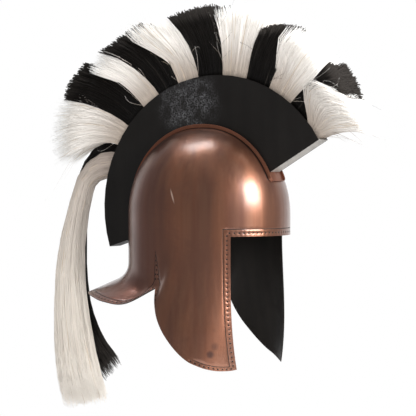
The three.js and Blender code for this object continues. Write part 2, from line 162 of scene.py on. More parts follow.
def placeInMm(tree):  # where a point of the surface is, in millimetres
    inMetres = addNode(tree, "ShaderNodeTexCoord").outputs["Object"]
    return addNode(tree, "ShaderNodeVectorMath", {0: inMetres, "Scale": 1 / mm}, operation="SCALE").outputs[0]


def colour(red, green, blue):  # screen values from 0 to 255 as a linear colour
    parts = [v / 255 for v in (red, green, blue)]
    return (*[p / 12.92 if p <= 0.04045 else ((p + 0.055) / 1.055) ** 2.4 for p in parts], 1.0)


def makeGroup(name, inputs, outputs):  # gives the group, what comes into it and what it puts out
    group = bpy.data.node_groups.new(name, "ShaderNodeTree")
    for label, kind, value in inputs:
        socket = group.interface.new_socket(label, in_out="INPUT", socket_type=kind)
        socket.default_value = value
    for label, kind in outputs:
        group.interface.new_socket(label, in_out="OUTPUT", socket_type=kind)
    return group, addNode(group, "NodeGroupInput").outputs, addNode(group, "NodeGroupOutput").inputs


def useGroup(tree, group, **values):
    return addNode(tree, "ShaderNodeGroup", values, node_tree=group).outputs


def makeMaterial(name, **settings):
    material = bpy.data.materials.new(name)
    material.use_nodes = True
    tree = material.node_tree
    shader = tree.nodes["Principled BSDF"]
    for key, value in settings.items():
        shader.inputs[key.replace("_", " ")].default_value = value
    return material, tree, shader


# Effects that several materials share. Lengths in them are millimetres.

def makeBands():  # soft streaks that run up and down a sheet; mixed into a colour they are painted streaky reflections
    group, given, made = makeGroup("uprightBands", [
        ("Width", "NodeSocketFloat", 20.0), ("Length", "NodeSocketFloat", 150.0),
        ("Contrast", "NodeSocketFloat", 1.0),
    ], [("Value", "NodeSocketFloat")])
    across, along = [math2(group, "DIVIDE", 1.0, given[label]) for label in ("Width", "Length")]
    scale = addNode(group, "ShaderNodeCombineXYZ", {0: across, 1: across, 2: along}).outputs[0]
    streaks = noise(group, vectorMath(group, "MULTIPLY", placeInMm(group), scale), 1.0, 3.0, 0.45)
    half = math2(group, "DIVIDE", 0.2, given["Contrast"])
    low, high = math2(group, "SUBTRACT", 0.5, half), math2(group, "ADD", 0.5, half)
    group.links.new(smoothRange(group, streaks, low, high), made["Value"])
    return group


def makeGrain():  # fine uneven grain and larger smudges, each by its size
    group, given, made = makeGroup("sheetGrain", [
        ("Grain", "NodeSocketFloat", 0.8), ("Smudge", "NodeSocketFloat", 30.0),
    ], [("Grain", "NodeSocketFloat"), ("Smudge", "NodeSocketFloat")])
    place = placeInMm(group)
    grain = noise(group, place, math2(group, "DIVIDE", 1.0, given["Grain"]))
    smudge = noise(group, place, math2(group, "DIVIDE", 1.0, given["Smudge"]), 4.0, 0.6, 0.4)
    group.links.new(grain, made["Grain"])
    group.links.new(smoothRange(group, smudge, 0.35, 0.68), made["Smudge"])
    return group


def makeRoundMark():  # 1 in the middle of a round mark and 0 beyond its radius
    group, given, made = makeGroup("roundMark", [
        ("Centre", "NodeSocketVector", (0, 0, 0)), ("Radius", "NodeSocketFloat", 5.0),
    ], [("Value", "NodeSocketFloat")])
    gap = vectorMath(group, "DISTANCE", placeInMm(group), given["Centre"])
    full = math2(group, "MULTIPLY", given["Radius"], 0.3)
    group.links.new(smoothRange(group, gap, given["Radius"], full), made["Value"])
    return group


def makeAgeAndPaintedLight():  # copper is duller at the rear, darker towards the crown as a painted reflection of the black crest box, lighter at its rim as a painted highlight, and darker where it is sunk
    strengths = [("Rear", 0.7), ("CrestReflection", 0.6), ("RimHighlight", 0.2)]
    group, given, made = makeGroup(
        "copperAgeAndPaintedLight", [(label, "NodeSocketFloat", value) for label, value in strengths],
        [(label, "NodeSocketFloat") for label in ("Rear", "CrestReflection", "RimHighlight", "Hollow")],
    )
    axes = addNode(group, "ShaderNodeSeparateXYZ", {0: placeInMm(group)}).outputs
    group.links.new(smoothRange(group, axes[1], -10.0, 75.0, 0.0, given["Rear"]), made["Rear"])
    # painted reflection: the dome darkens towards the crown, standing in for the black crest box reflected in
    # it
    group.links.new(smoothRange(group, axes[2], -50.0, -6.0, 0.0, given["CrestReflection"]), made["CrestReflection"])
    # painted highlight: lighter copper close to the rim, standing in for light caught by the rolled edge
    group.links.new(smoothRange(group, attribute(group, "edge"), 1.3, 0.4, 0.0, given["RimHighlight"]), made["RimHighlight"])
    group.links.new(smoothRange(group, attribute(group, "sunk"), 0.02, 0.4), made["Hollow"])
    return group


def makeStrandColour():  # hair changes from root to tip and from strand to strand
    colours = [(label, "NodeSocketColor", (0, 0, 0, 1)) for label in ("Root", "Tip", "End", "Odd")]
    spread = ("Spread", "NodeSocketFloat", 0.3)
    group, given, made = makeGroup("strandColour", [*colours, spread], [("Color", "NodeSocketColor")])
    along, strand = attribute(group, "along"), attribute(group, "strand")
    tone = mixColour(group, smoothRange(group, along, 0.1, 0.9), given["Root"], given["Tip"])
    shade = math2(group, "SUBTRACT", 1.0, math2(group, "MULTIPLY", strand, given["Spread"]))
    shade = addNode(group, "ShaderNodeCombineColor", {0: shade, 1: shade, 2: shade}).outputs[0]
    tone = mixColour(group, 1.0, tone, shade, "MULTIPLY")
    tone = mixColour(group, smoothRange(group, along, 0.86, 1.0), tone, given["End"])
    tone = mixColour(group, math2(group, "GREATER_THAN", strand, 0.975), tone, given["Odd"])
    group.links.new(tone, made["Color"])
    return group


bands, grain, roundMark = makeBands(), makeGrain(), makeRoundMark()
ageAndPaintedLight, strandColour = makeAgeAndPaintedLight(), makeStrandColour()
print("shared effects made")


# Copper, with the stains, the painted highlight of a small crease and the painted shadow line beside the
# channel that only the shell has

copperLook = {
    "dark": colour(104, 68, 56), "warm": colour(148, 94, 68), "pale": colour(164, 120, 92),
    # the colour towards the crown is a painted reflection of the black crest box near the dome's top
    "rear": colour(104, 66, 58), "crown": colour(72, 48, 40), "edge": colour(160, 112, 92),
    "stain": colour(60, 42, 42), "hollow": colour(14, 9, 8), "highlightTone": colour(244, 214, 196),
    "wide": {"Width": 34.0, "Length": 420.0, "Contrast": 0.9},
    "narrow": {"Width": 8.0, "Length": 260.0, "Contrast": 0.6},
    # the rim strength sets how strongly the edge colour paints a highlight along the rim
    "grain": {"Grain": 0.9, "Smudge": 52.0}, "ageAndPaintedLight": {"Rear": 0.75, "CrestReflection": 0.6, "RimHighlight": 0.22},
    "roughLow": 0.34, "roughHigh": 0.46, "coat": 1.0, "coatRough": 0.23, "metal": 0.86,
    "streak": 0.3, "smudge": 0.4, "stainShare": 0.7, "creaseHighlightShare": 0.85, "bump": 0.35,
    "stains": [  # centre and radius
        ((-94, -63, -262), 6.24), ((-94, -64, -283), 8.84),
        ((-94, -56, -293), 6.76), ((-94, -72, -291), 10.92),
    ],
    # a painted highlight: a short bright streak of light caught by a small crease in the dome
    "creaseHighlight": {"centre": (-87.4, 4.5, -90.5), "tall": 12.0, "wide": 1.7, "slant": 0.39},
    # a painted shadow line along the foot of the channel
    "lipShadow": {"centreY": -18.5, "centreZ": -107.0, "tilt": 22.7, "outer": 24.0, "inner": 20.6, "fade": 4.0},
}
# a lighter copy of the shell's copper, painted lighter so that the narrow lip reads as lit; its edge colour
# paints a highlight along the lip
channelLook = {
    **copperLook, "dark": colour(124, 80, 62), "warm": colour(158, 98, 74), "pale": colour(176, 122, 96),
    "rear": colour(140, 84, 64), "crown": colour(124, 80, 62), "edge": colour(190, 120, 92), "coat": 0.2,
    "stains": [], "creaseHighlight": None, "lipShadow": None,
}


# painted highlight: a small bright slanting streak standing in for light caught by a crease
def creaseHighlightMask(tree, creaseHighlight):  # a short slanting line that fades at both ends
    moved = vectorMath(tree, "SUBTRACT", placeInMm(tree), creaseHighlight["centre"])
    deep = vectorMath(tree, "DOT_PRODUCT", moved, (0.05, 0, 0))  # keeps the mark off the other side
    across = vectorMath(tree, "DOT_PRODUCT", moved, (0, 1 / creaseHighlight["wide"], -creaseHighlight["slant"] / creaseHighlight["wide"]))
    along = vectorMath(tree, "DOT_PRODUCT", moved, (0, 0, 1 / creaseHighlight["tall"]))
    reach = addNode(tree, "ShaderNodeCombineXYZ", {0: deep, 1: across, 2: along}).outputs[0]
    return smoothRange(tree, vectorMath(tree, "LENGTH", reach), 1.0, 0.2)


def lipShadowMask(tree, gap):  # the painted shadow line where the dome meets the channel, down to the channel's ends
    moved = vectorMath(tree, "SUBTRACT", placeInMm(tree), (0, gap["centreY"], gap["centreZ"]))
    tilt = math.radians(gap["tilt"])
    above = vectorMath(tree, "DOT_PRODUCT", moved, (0, math.sin(tilt), math.cos(tilt)))
    across = math2(tree, "ABSOLUTE", addNode(tree, "ShaderNodeSeparateXYZ", {0: moved}).outputs[0])
    near = smoothRange(tree, across, gap["outer"], gap["inner"])
    return math2(tree, "MULTIPLY", near, smoothRange(tree, above, 0.0, gap["fade"]))


def makeCopper(name, look):
    material, tree, shader = makeMaterial(name, Metallic=1.0, Coat_Roughness=look["coatRough"])
    shader.inputs["Coat Weight"].default_value = look["coat"]
    wide = useGroup(tree, bands, **look["wide"])["Value"]
    narrow = useGroup(tree, bands, **look["narrow"])["Value"]
    grained = useGroup(tree, grain, **look["grain"])
    agedAndPaintedLight = useGroup(tree, ageAndPaintedLight, **look["ageAndPaintedLight"])
    # painted reflections: the wide and narrow bands put the streaky reflections of satin copper into the
    # colour; the wide ones also bump the surface
    base = mixColour(tree, wide, look["dark"], look["warm"])
    base = mixColour(tree, math2(tree, "MULTIPLY", narrow, look["streak"]), base, look["pale"])
    base = mixColour(tree, math2(tree, "MULTIPLY", grained["Smudge"], look["smudge"]), base, look["dark"])
    base = mixColour(tree, agedAndPaintedLight["Rear"], base, look["rear"])
    # painted reflection of the black crest box, darkening the dome towards its crown
    base = mixColour(tree, agedAndPaintedLight["CrestReflection"], base, look["crown"])
    for centre, radius in look["stains"]:
        stain = useGroup(tree, roundMark, Centre=centre, Radius=radius)["Value"]
        base = mixColour(tree, math2(tree, "MULTIPLY", stain, look["stainShare"]), base, look["stain"])
    # painted highlight along the rim and along the channel's lip
    base = mixColour(tree, agedAndPaintedLight["RimHighlight"], base, look["edge"])
    base = mixColour(tree, agedAndPaintedLight["Hollow"], base, look["hollow"])
    # painted shadow where the dome meets the channel
    if look["lipShadow"]:
        base = mixColour(tree, lipShadowMask(tree, look["lipShadow"]), base, look["hollow"])
    # painted highlight of the crease
    if look["creaseHighlight"]:
        creaseHighlight = math2(tree, "MULTIPLY", creaseHighlightMask(tree, look["creaseHighlight"]), look["creaseHighlightShare"])
        base = mixColour(tree, creaseHighlight, base, look["highlightTone"])
    tree.links.new(base, shader.inputs["Base Color"])
    roughSpan = look["roughHigh"] - look["roughLow"]
    rough = math2(tree, "MULTIPLY_ADD", grained["Smudge"], roughSpan, look["roughLow"])
    for socket, change, clean in (  # the hollows are also rough and dull
        ("Roughness", 0.4, rough), ("Metallic", -0.7, look["metal"]),
        ("Coat Weight", -look["coat"], look["coat"]),
    ):
        tree.links.new(math2(tree, "MULTIPLY_ADD", agedAndPaintedLight["Hollow"], change, clean), shader.inputs[socket])
    height = math2(tree, "MULTIPLY_ADD", wide, 3.0, math2(tree, "MULTIPLY", grained["Grain"], 0.1))
    bump = addNode(tree, "ShaderNodeBump", {"Strength": look["bump"], "Distance": 0.0006, "Height": height})
    tree.links.new(bump.outputs["Normal"], shader.inputs["Normal"])
    return material


copper, channelCopperPaintedLight = makeCopper("satinCopper", copperLook), makeCopper("channelCopperPaintedLight", channelLook)


# Painted sheet

paintLooks = {
    "innerBlack": {"dark": colour(24, 21, 19), "pale": colour(34, 30, 27), "rough": 0.5, "shine": 0.16},
    "crestBlack": {
        "dark": colour(15, 13, 12), "pale": colour(22, 20, 18), "rough": 0.42, "shine": 0.3,
        "rubbed": {"Centre": (-13.35, 24.0, 33.0), "Radius": 58.0}, "rubbedTone": colour(86, 86, 88),
    },
    # the front cap is the same black sheet as the plates, painted light grey as a painted highlight where it
    # faces the light
    "capHighlightGrey": {"dark": colour(150, 146, 140), "pale": colour(182, 178, 172), "rough": 0.4, "shine": 0.5},
}


def makePaint(name, look):
    material, tree, shader = makeMaterial(name, Metallic=0.0, Specular_IOR_Level=look["shine"])
    grained = useGroup(tree, grain, Grain=1.4, Smudge=34.0)
    streaks = useGroup(tree, bands, Width=14.0, Length=300.0, Contrast=1.0)["Value"]
    # painted reflections: soft upright streaks in the black, standing in for streaky reflections on the satin
    # paint
    base = mixColour(tree, math2(tree, "MULTIPLY", streaks, 0.5), look["dark"], look["pale"])
    if "rubbed" in look:  # a round patch with a ragged edge and coarse grey specks
        coarse = useGroup(tree, grain, Grain=2.2, Smudge=18.0)
        specks = smoothRange(tree, coarse["Grain"], 0.34, 0.72)
        ragged = math2(tree, "MULTIPLY_ADD", coarse["Smudge"], 0.9, 0.1)
        patch = math2(tree, "MULTIPLY", useGroup(tree, roundMark, **look["rubbed"])["Value"], ragged)
        base = mixColour(tree, math2(tree, "MULTIPLY", patch, specks), base, look["rubbedTone"])
    tree.links.new(base, shader.inputs["Base Color"])
    rough = math2(tree, "MULTIPLY_ADD", grained["Smudge"], 0.12, look["rough"])
    tree.links.new(rough, shader.inputs["Roughness"])
    bump = addNode(tree, "ShaderNodeBump", {"Strength": 0.2, "Distance": 0.0003, "Height": grained["Grain"]})
    tree.links.new(bump.outputs["Normal"], shader.inputs["Normal"])
    return material


paints = {name: makePaint(name, look) for name, look in paintLooks.items()}


# Hair. Root, tip and end are colours along a strand, and odd is the colour of a few strands.

hairLooks = {
    "whiteHair": {
        "tones": {
            "Root": colour(166, 154, 143), "Tip": colour(236, 232, 227), "End": colour(250, 249, 247),
            "Odd": colour(186, 170, 150), "Spread": 0.2,
        },
        "shine": 0.2, "paintedGlow": 0.18,
    },
    "tailHair": {
        "tones": {
            "Root": colour(158, 146, 137), "Tip": colour(226, 218, 208), "End": colour(240, 234, 226),
            "Odd": colour(184, 166, 144), "Spread": 0.2,
        },
        "shine": 0.2, "paintedGlow": 0.1,
    },
    "blackHair": {
        "tones": {
            "Root": colour(14, 12, 11), "Tip": colour(24, 21, 19), "End": colour(50, 46, 43),
            "Odd": colour(50, 46, 42), "Spread": 0.5,
        },
        "shine": 0.14, "paintedGlow": 0.0,
    },
}


def makeHair(name, look):
    material, tree, shader = makeMaterial(name, Roughness=0.6, Specular_IOR_Level=look["shine"])
    tone = useGroup(tree, strandColour, **look["tones"])["Color"]
    tree.links.new(tone, shader.inputs["Base Color"])
    if look["paintedGlow"]:  # painted glow: pale hair shines with its own colour, standing in for light that passes through it
        tree.links.new(tone, shader.inputs["Emission Color"])
        shader.inputs["Emission Strength"].default_value = look["paintedGlow"]
    return material


hairs = {name: makeHair(name, look) for name, look in hairLooks.items()}
print("materials made")


# The shell: dome, cheek plates and neck guard from one sheet

shell = {
    "wall": 1.2, "halfWidth": 89.5, "halfLength": 110.5, "height": 118.0, "planFullness": 2.2,
    "profileFullness": 2.1, "browDepth": 25.5, "openingHalfWidth": 71.0, "cheekDepth": 172.0,
    "cheekLength": 100.0, "cheekHalfWidth": 110.0, "chinSwell": 19.0, "notchDepth": 68.5,
    "neckReach": 55.0, "neckDrop": 78.5, "neckSlope": 24.0, "neckBend": 17.0, "earCurl": 4.0,
    "bendFrom": 0.36, "bendTo": 0.76,  # shares of the way down to the neck guard's edge
    "cheekOutline": [  # back, drop and width from the front tip to the ear notch
        (-0.04, 1.0, 0.555), (0.015, 1.006, 0.655), (0.11, 1.003, 0.78), (0.21, 0.987, 0.88),
        (0.31, 0.962, 0.945), (0.43, 0.928, 0.985), (0.57, 0.866, 1.0), (0.71, 0.785, 0.995),
        (0.83, 0.7, 0.975), (0.92, 0.605, 0.945), (0.975, 0.5, 0.9), (1.0, 0.398, 0.84),
    ],
    "neckOutline": [  # reach and drop from the ear notch to the rear
        (0.0, 0.873), (0.56, 1.12), (0.84, 1.1), (0.956, 1.03), (0.99, 1.0), (1.0, 1.0), (1.0, 1.0),
    ],
    "belt": 16.0, "cell": 3.9, "domeRows": 36, "rimStep": 3.0, "lineStep": 0.8, "grooveStep": 2.6,
    "lineInset": 9.5, "lineHalf": 0.62, "lineDepth": 0.3,
    "spire": [(-5.5, 9.0), (3.8, 50.0), (5.5, 12.0)],  # the line's point above the ear notch, from the notch
    "spireDots": [(-1.6, 14), (3.6, 14), (-0.6, 20), (3.6, 20), (1.4, 26), (2.0, 32), (2.6, 38)],
    "dotInset": 4.6, "dotPitch": 6.0, "dotRadius": 1.3, "dotFloor": 0.68, "dotDepth": 0.27, "dotGap": 3.6,
    "lowShare": 0.6,  # line and dots stand closer to the cheek plate's lower edge
    "faintFrom": 0.42, "faintTo": 0.88, "fadeLength": 12.0,  # and are worn off along this stretch of it
}
crownZ = shell["wall"]
equatorZ = crownZ - shell["height"]
browZ = equatorZ - shell["browDepth"]


def otherHalf(part, half, full):
    return full * (1 - (part / half) ** shell["planFullness"]) ** (1 / shell["planFullness"])


openingY = -otherHalf(shell["openingHalfWidth"], shell["halfWidth"], shell["halfLength"])
openingAngle = math.atan2(shell["openingHalfWidth"], -openingY)
notchY = openingY + shell["cheekLength"]
notchAngle = math.pi / 2 + math.atan2(notchY, otherHalf(notchY, shell["halfLength"], shell["halfWidth"]))


def planPoint(angle, scale, z):
    n = shell["planFullness"]
    across = np.abs(np.sin(angle)) / shell["halfWidth"]
    along = np.abs(np.cos(angle)) / shell["halfLength"]
    r = scale * (across**n + along**n) ** (-1 / n)
    return np.stack([-r * np.sin(angle), -r * np.cos(angle), z + 0 * r], -1)


def domePoint(angle, rise):
    power = 2 / shell["profileFullness"]
    z = equatorZ + shell["height"] * np.sin(rise) ** power
    return planPoint(angle, np.maximum(np.cos(rise), 0) ** power, z)


def neckPoint(share, v):  # share 0 is at the ear notch and 1 at the rear
    slope = math.radians(shell["neckSlope"])
    top = planPoint(lerp(notchAngle, math.pi, share), 1, browZ)
    outward = unit(top * [1, 1, 0])
    row = alongRows(shell["neckOutline"], share)
    reach = lerp(shell["earCurl"], shell["neckReach"], row[..., 0])
    drop = lerp(shell["notchDepth"] / shell["neckOutline"][0][1], shell["neckDrop"], ease(3 * share))
    edgeZ = browZ - drop * row[..., 1]
    cornerZ = edgeZ + reach * math.tan(slope)
    bend = np.minimum(shell["neckBend"], reach * 0.8)
    slopeOut, slopeZ = bend * math.cos(slope), cornerZ - bend * math.sin(slope)
    start, stop = shell["bendFrom"], shell["bendTo"]
    upper, middle = v / start, np.clip((v - start) / (stop - start), 0, 1)
    lower = np.clip((v - stop) / (1 - stop), 0, 1)
    curve = (cornerZ + bend) * (1 - middle) ** 2 + cornerZ * 2 * middle * (1 - middle) + slopeZ * middle**2
    bent = np.where(v < stop, curve, lerp(slopeZ, edgeZ, lower))
    z = np.where(v <= start, lerp(browZ, cornerZ + bend, upper), bent)
    out = np.where(v < stop, slopeOut * middle**2, lerp(slopeOut, reach, lower))
    return top * [1, 1, 0] + outward * out[..., None] + np.stack([0 * z, 0 * z, z], -1)


def plainCheekPoint(share, v):
    top = planPoint(lerp(openingAngle, notchAngle, share), 1, browZ)
    back, drop, width = np.moveaxis(alongRows(shell["cheekOutline"], share), -1, 0)
    lowY, lowZ = openingY + shell["cheekLength"] * back, browZ - shell["cheekDepth"] * drop
    low = np.stack([-shell["cheekHalfWidth"] * width, lowY, lowZ], -1)
    third = (top[..., 2] - low[..., 2]) / 3
    down = np.stack([0 * third, 0 * third, third], -1)
    above = low + down
    above[..., 0] -= shell["chinSwell"] * (1 - ease(share * 2.2))
    return bezier(top, top - down, above, low, v[..., None])


def cheekPoint(share, v):  # share 0 is the front edge
    offset = neckPoint(0 * share, v) - plainCheekPoint(0 * share + 1, v)
    return plainCheekPoint(share, v) + offset * ease((share - 0.7) / 0.3)[..., None]


# The part of the sheet below the belt is laid out flat, so that the line and the punched dots can be set
# out on it. Column 0 to 1 is the brow, 1 to 2 a cheek plate and 2 to 3 the neck. Row 0 to 1 is the belt and
# 1 to 2 is what hangs below the brow. Flat x is the way round the helmet and flat y the way up the sheet.
columnCount, rowCount, flatRadius = 120, 100, 100.0
halfRound = math.pi * flatRadius  # flat x at the rear
columns = np.linspace(0, 3, 3 * columnCount + 1)
rows = np.linspace(0, 2, 2 * rowCount + 1)


def columnAngle(c):
    brow, cheek, neck = [np.clip(c - k, 0, 1) for k in range(3)]
    return openingAngle * brow + (notchAngle - openingAngle) * cheek + (math.pi - notchAngle) * neck


def buildLayout():
    c, w = np.meshgrid(columns, rows, indexing="ij")
    angle, cheek, neck = columnAngle(c), np.clip(c - 1, 0, 1), np.clip(c - 2, 0, 1)
    belt = planPoint(angle, 1, browZ + shell["belt"] * (1 - np.clip(w, 0, 1)))
    v = np.clip(w - 1, 0, 1)
    hung = np.where((c > 2)[..., None], neckPoint(neck, v), cheekPoint(cheek, v))
    front = cheekPoint(0 * cheek, v) + belt - planPoint(openingAngle + 0 * angle, 1, browZ)
    hung = np.where((c < 1)[..., None], front, hung)
    points = np.where((w <= 1)[..., None], belt, hung)
    around = np.arctan2(-points[..., 0] + 1e-9, -points[..., 1]) * flatRadius
    down = np.linalg.norm(np.diff(points, axis=1), axis=2)
    down = np.concatenate([np.zeros((len(columns), 1)), np.cumsum(down, axis=1)], axis=1)
    return points, np.stack([around, -down], -1)


sheetPoints, sheetFlat = buildLayout()


def sample(table, cw):  # a value between the knots of a layout table
    at = np.clip(cw, [0, 0], [3, 2]) * [columnCount, rowCount]
    low = np.minimum(np.floor(at).astype(int), [len(columns) - 2, len(rows) - 2])
    (i, j), t = low.T, at - low
    s, t = t[:, :1], t[:, 1:]
    upper = table[i, j] * (1 - s) + table[i + 1, j] * s
    lower = table[i, j + 1] * (1 - s) + table[i + 1, j + 1] * s
    return upper * (1 - t) + lower * t


def fromFlat(flat):  # column and row of points that are given on the flat layout
    coarse = sheetFlat[::6, ::5].reshape(-1, 2)
    grid = np.stack(np.meshgrid(columns[::6], rows[::5], indexing="ij"), -1).reshape(-1, 2)
    cw = np.concatenate([
        grid[np.argmin(((part[:, None] - coarse[None]) ** 2).sum(-1), axis=1)]
        for part in np.array_split(flat, max(1, len(flat) // 500))
    ])
    h = 0.004
    for _ in range(25):
        miss = flat - sample(sheetFlat, cw)
        low, high = np.clip(cw - h, 0, [3, 2]), np.clip(cw + h, 0, [3, 2])
        acrossLow, acrossHigh = np.stack([low[:, 0], cw[:, 1]], -1), np.stack([high[:, 0], cw[:, 1]], -1)
        downLow, downHigh = np.stack([cw[:, 0], low[:, 1]], -1), np.stack([cw[:, 0], high[:, 1]], -1)
        dc = (sample(sheetFlat, acrossHigh) - sample(sheetFlat, acrossLow)) / (high - low)[:, :1]
        dw = (sample(sheetFlat, downHigh) - sample(sheetFlat, downLow)) / (high - low)[:, 1:]
        det = dc[:, 0] * dw[:, 1] - dc[:, 1] * dw[:, 0]
        stepC = (miss[:, 0] * dw[:, 1] - miss[:, 1] * dw[:, 0]) / det
        stepW = (dc[:, 0] * miss[:, 1] - dc[:, 1] * miss[:, 0]) / det
        cw = np.clip(cw + np.clip(np.stack([stepC, stepW], -1), -0.08, 0.08), [0, 0], [3, 2])
    return cw


def widen(flat):  # true length round the helmet over length on the flat layout
    p = sample(sheetPoints, fromFlat(flat))
    return np.hypot(p[:, 0], p[:, 1]) / flatRadius


def offsetLine(line, inward):  # a line moved to its left by a true distance, mitred at its corners
    stretch = np.stack([widen(line), np.ones(len(line))], -1)
    true = np.diff(line, axis=0) * (stretch[1:] + stretch[:-1]) / 2
    normals = unit(np.stack([-true[:, 1], true[:, 0]], -1))
    before, after = np.vstack([normals[:1], normals]), np.vstack([normals, normals[-1:]])
    middle = unit(before + after)
    miter = 1 / np.maximum((middle * after).sum(1), 0.35)
    return line + middle * (inward * miter)[:, None] / stretch


def gapTo(points, line):  # distance from each point to the nearest point of a line
    parts = np.array_split(points, 1 + len(points) // 300)
    nearest = [((part[:, None] - line[None]) ** 2).sum(-1).min(axis=1) for part in parts]
    return np.sqrt(np.concatenate(nearest))


def setOutLines():
    fine = np.linspace(0, 1, 400)
    ones = np.ones(400)
    rim = {
        "brow": sample(sheetFlat, np.stack([fine, ones], -1)),
        "front": sample(sheetFlat, np.stack([ones, 1 + fine], -1)),
        "low": sample(sheetFlat, np.stack([1 + fine, 2 * ones], -1)),
        "neck": sample(sheetFlat, np.stack([2 + fine, 2 * ones], -1)),
    }
    rim = {name: respaced(line, shell["lineStep"]) for name, line in rim.items()}
    corner, notch = rim["brow"][-1], rim["neck"][0]
    lift = np.array([0, shell["lineInset"]])
    frontLong = respaced(np.vstack([corner + lift, rim["front"]]), shell["lineStep"])

    def inset(amount):
        lower = amount * shell["lowShare"]
        brow, front, low, neck = [offsetLine(line, far * np.ones(len(line))) for line, far in (
            (rim["brow"], amount), (frontLong, amount), (rim["low"], lower), (rim["neck"], amount),
        )]
        front = front[front[:, 1] < corner[1] + amount]
        turn = np.array([np.interp(corner[1] + amount, front[::-1, 1], front[::-1, 0]), corner[1] + amount])
        brow = np.vstack([brow[brow[:, 0] < turn[0]], turn])
        front = front[gapTo(front, rim["low"]) > lower]
        low = low[gapTo(low, rim["front"]) > amount]
        return brow, front, low, neck, notch

    return rim, inset


rimLines, insetLines = setOutLines()
lowCount = len(rimLines["low"])
faintRim = rimLines["low"][int(shell["faintFrom"] * lowCount):int(shell["faintTo"] * lowCount)]


def makeGroovePath():
    brow, front, low, neck, notch = insetLines(shell["lineInset"])
    low = low[(low[:, 1] < notch[1] + 4) & (low[:, 0] < notch[0] - 6.5)]
    neck = neck[neck[:, 0] > notch[0] + 9]
    neck[-1, 0] = halfRound
    return np.vstack([brow, front[1:], low, notch + shell["spire"], neck])


def keepCorners(path, spacing, sharp=35):  # evenly spaced points that still pass through the sharp corners
    heading = np.unwrap(np.arctan2(*np.diff(path, axis=0).T[::-1]))
    turns = [k + 1 for k in np.nonzero(np.abs(np.diff(heading)) > math.radians(sharp))[0]]
    stops = [0, *turns, len(path) - 1]
    parts = [respaced(path[a:b + 1], spacing) for a, b in zip(stops[:-1], stops[1:]) if b > a]
    return np.vstack([parts[0], *[part[1:] for part in parts[1:]]])


def setOutDots():
    dots = []
    brow, front, low, neck, notch = insetLines(shell["dotInset"])
    for line in (brow, front, low, neck):
        stretch = widen(line)
        true = np.hypot(np.diff(line[:, 0]) * (stretch[1:] + stretch[:-1]) / 2, np.diff(line[:, 1]))
        run = np.concatenate([[0], np.cumsum(true)])
        count = int(run[-1] // shell["dotPitch"])
        at = (np.arange(count) + 0.5) * run[-1] / count
        dots += list(np.stack([np.interp(at, run, line[:, k]) for k in (0, 1)], -1))
    dots += list(notch + shell["spireDots"])
    dots = [dot for dot in dots if gapTo(dot[None], faintRim)[0] > shell["dotInset"] + 1.5]
    kept = []
    for dot in dots:
        apart = all(np.hypot(*(dot - other)) > shell["dotGap"] for other in kept)
        if apart and 2 < dot[0] < halfRound - 2:
            kept.append(dot)
    return np.array(kept)


def insideOutline(points, outline):
    x, y = points[:, 0], points[:, 1]
    inside = np.zeros(len(points), bool)
    for (ax, ay), (bx, by) in zip(outline, np.roll(outline, -1, axis=0)):
        crosses = (ay > y) != (by > y)
        inside ^= crosses & (x < (bx - ax) * (y - ay) / (by - ay + 1e-12) + ax)
    return inside


def layHalfSheet():
    cell = shell["cell"]
    brow, *others = [respaced(rimLines[name], shell["rimStep"]) for name in ("brow", "front", "low", "neck")]
    rim = np.vstack([brow, *[line[1:] for line in others]])
    rear = respaced(np.array([rim[-1], [rim[-1, 0], 0.0]]), cell)[1:]
    top = respaced(np.array([[halfRound, 0.0], [0.0, 0.0]]), cell)[1:]
    mid = respaced(np.array([[0.0, 0.0], rim[0]]), cell)[1:-1]
    outline = np.vstack([rim, rear, top, mid])
    path = keepCorners(makeGroovePath(), shell["grooveStep"])
    half = shell["lineHalf"] * np.ones(len(path))
    grooves = [offsetLine(path, -half), path, offsetLine(path, half)]
    for line in grooves:
        line[0, 0], line[-1, 0] = 0.0, halfRound
    dots = setOutDots()
    turn = np.arange(8) * math.pi / 4
    stretch = widen(dots)
    ring = np.stack([np.cos(turn)[None] / stretch[:, None], np.tile(np.sin(turn), (len(dots), 1))], -1)
    outer = dots[:, None] + ring * shell["dotRadius"]
    inner = dots[:, None] + ring * shell["dotRadius"] * shell["dotFloor"]
    xs, ys = np.arange(cell, halfRound, cell), -np.arange(0, 260, cell)  # reaches below the lowest rim
    lattice = np.stack(np.meshgrid(xs, ys, indexing="ij"), -1)
    lattice[::2, :, 1] -= cell / 2
    lattice = lattice.reshape(-1, 2)
    lattice = lattice[insideOutline(lattice, outline)]
    features = np.vstack([outline, *grooves, outer.reshape(-1, 2)])
    lattice = lattice[gapTo(lattice, features) > 0.5 * cell]

    points, edges, depths = [], [], []

    def addLine(line, depth, closed=False):
        start = len(points)
        points.extend(line.tolist())
        depths.extend(np.broadcast_to(depth, len(line)).tolist())
        edges.extend((start + k, start + k + 1) for k in range(len(line) - 1))
        if closed:
            edges.append((start + len(line) - 1, start))

    addLine(outline, 0, True)
    fade = np.clip((gapTo(grooves[1], faintRim) - shell["lineInset"]) / shell["fadeLength"], 0.12, 1)
    for line, depth in zip(grooves, (0, shell["lineDepth"] * fade, 0)):
        addLine(line, depth)
    for outerRing, innerRing, dot in zip(outer, inner, dots):
        addLine(outerRing, 0, True)
        addLine(innerRing, shell["dotDepth"] * 0.8, True)
        addLine(dot[None], shell["dotDepth"])
    points.extend(lattice.tolist())
    depths.extend([0] * len(lattice))
    made = delaunay_2d_cdt([Vector(p) for p in points], edges, [], 1, 1e-4)
    flat = np.array([tuple(p) for p in made[0]])
    sunk = np.array([max([depths[k] for k in origin], default=0) for origin in made[3]])
    where = fromFlat(flat)
    topColumns = fromFlat(outline[-len(mid) - len(top) - 1:len(outline) - len(mid)])[:, 0]
    return sample(sheetPoints, where), [list(f) for f in made[2]], sunk, topColumns


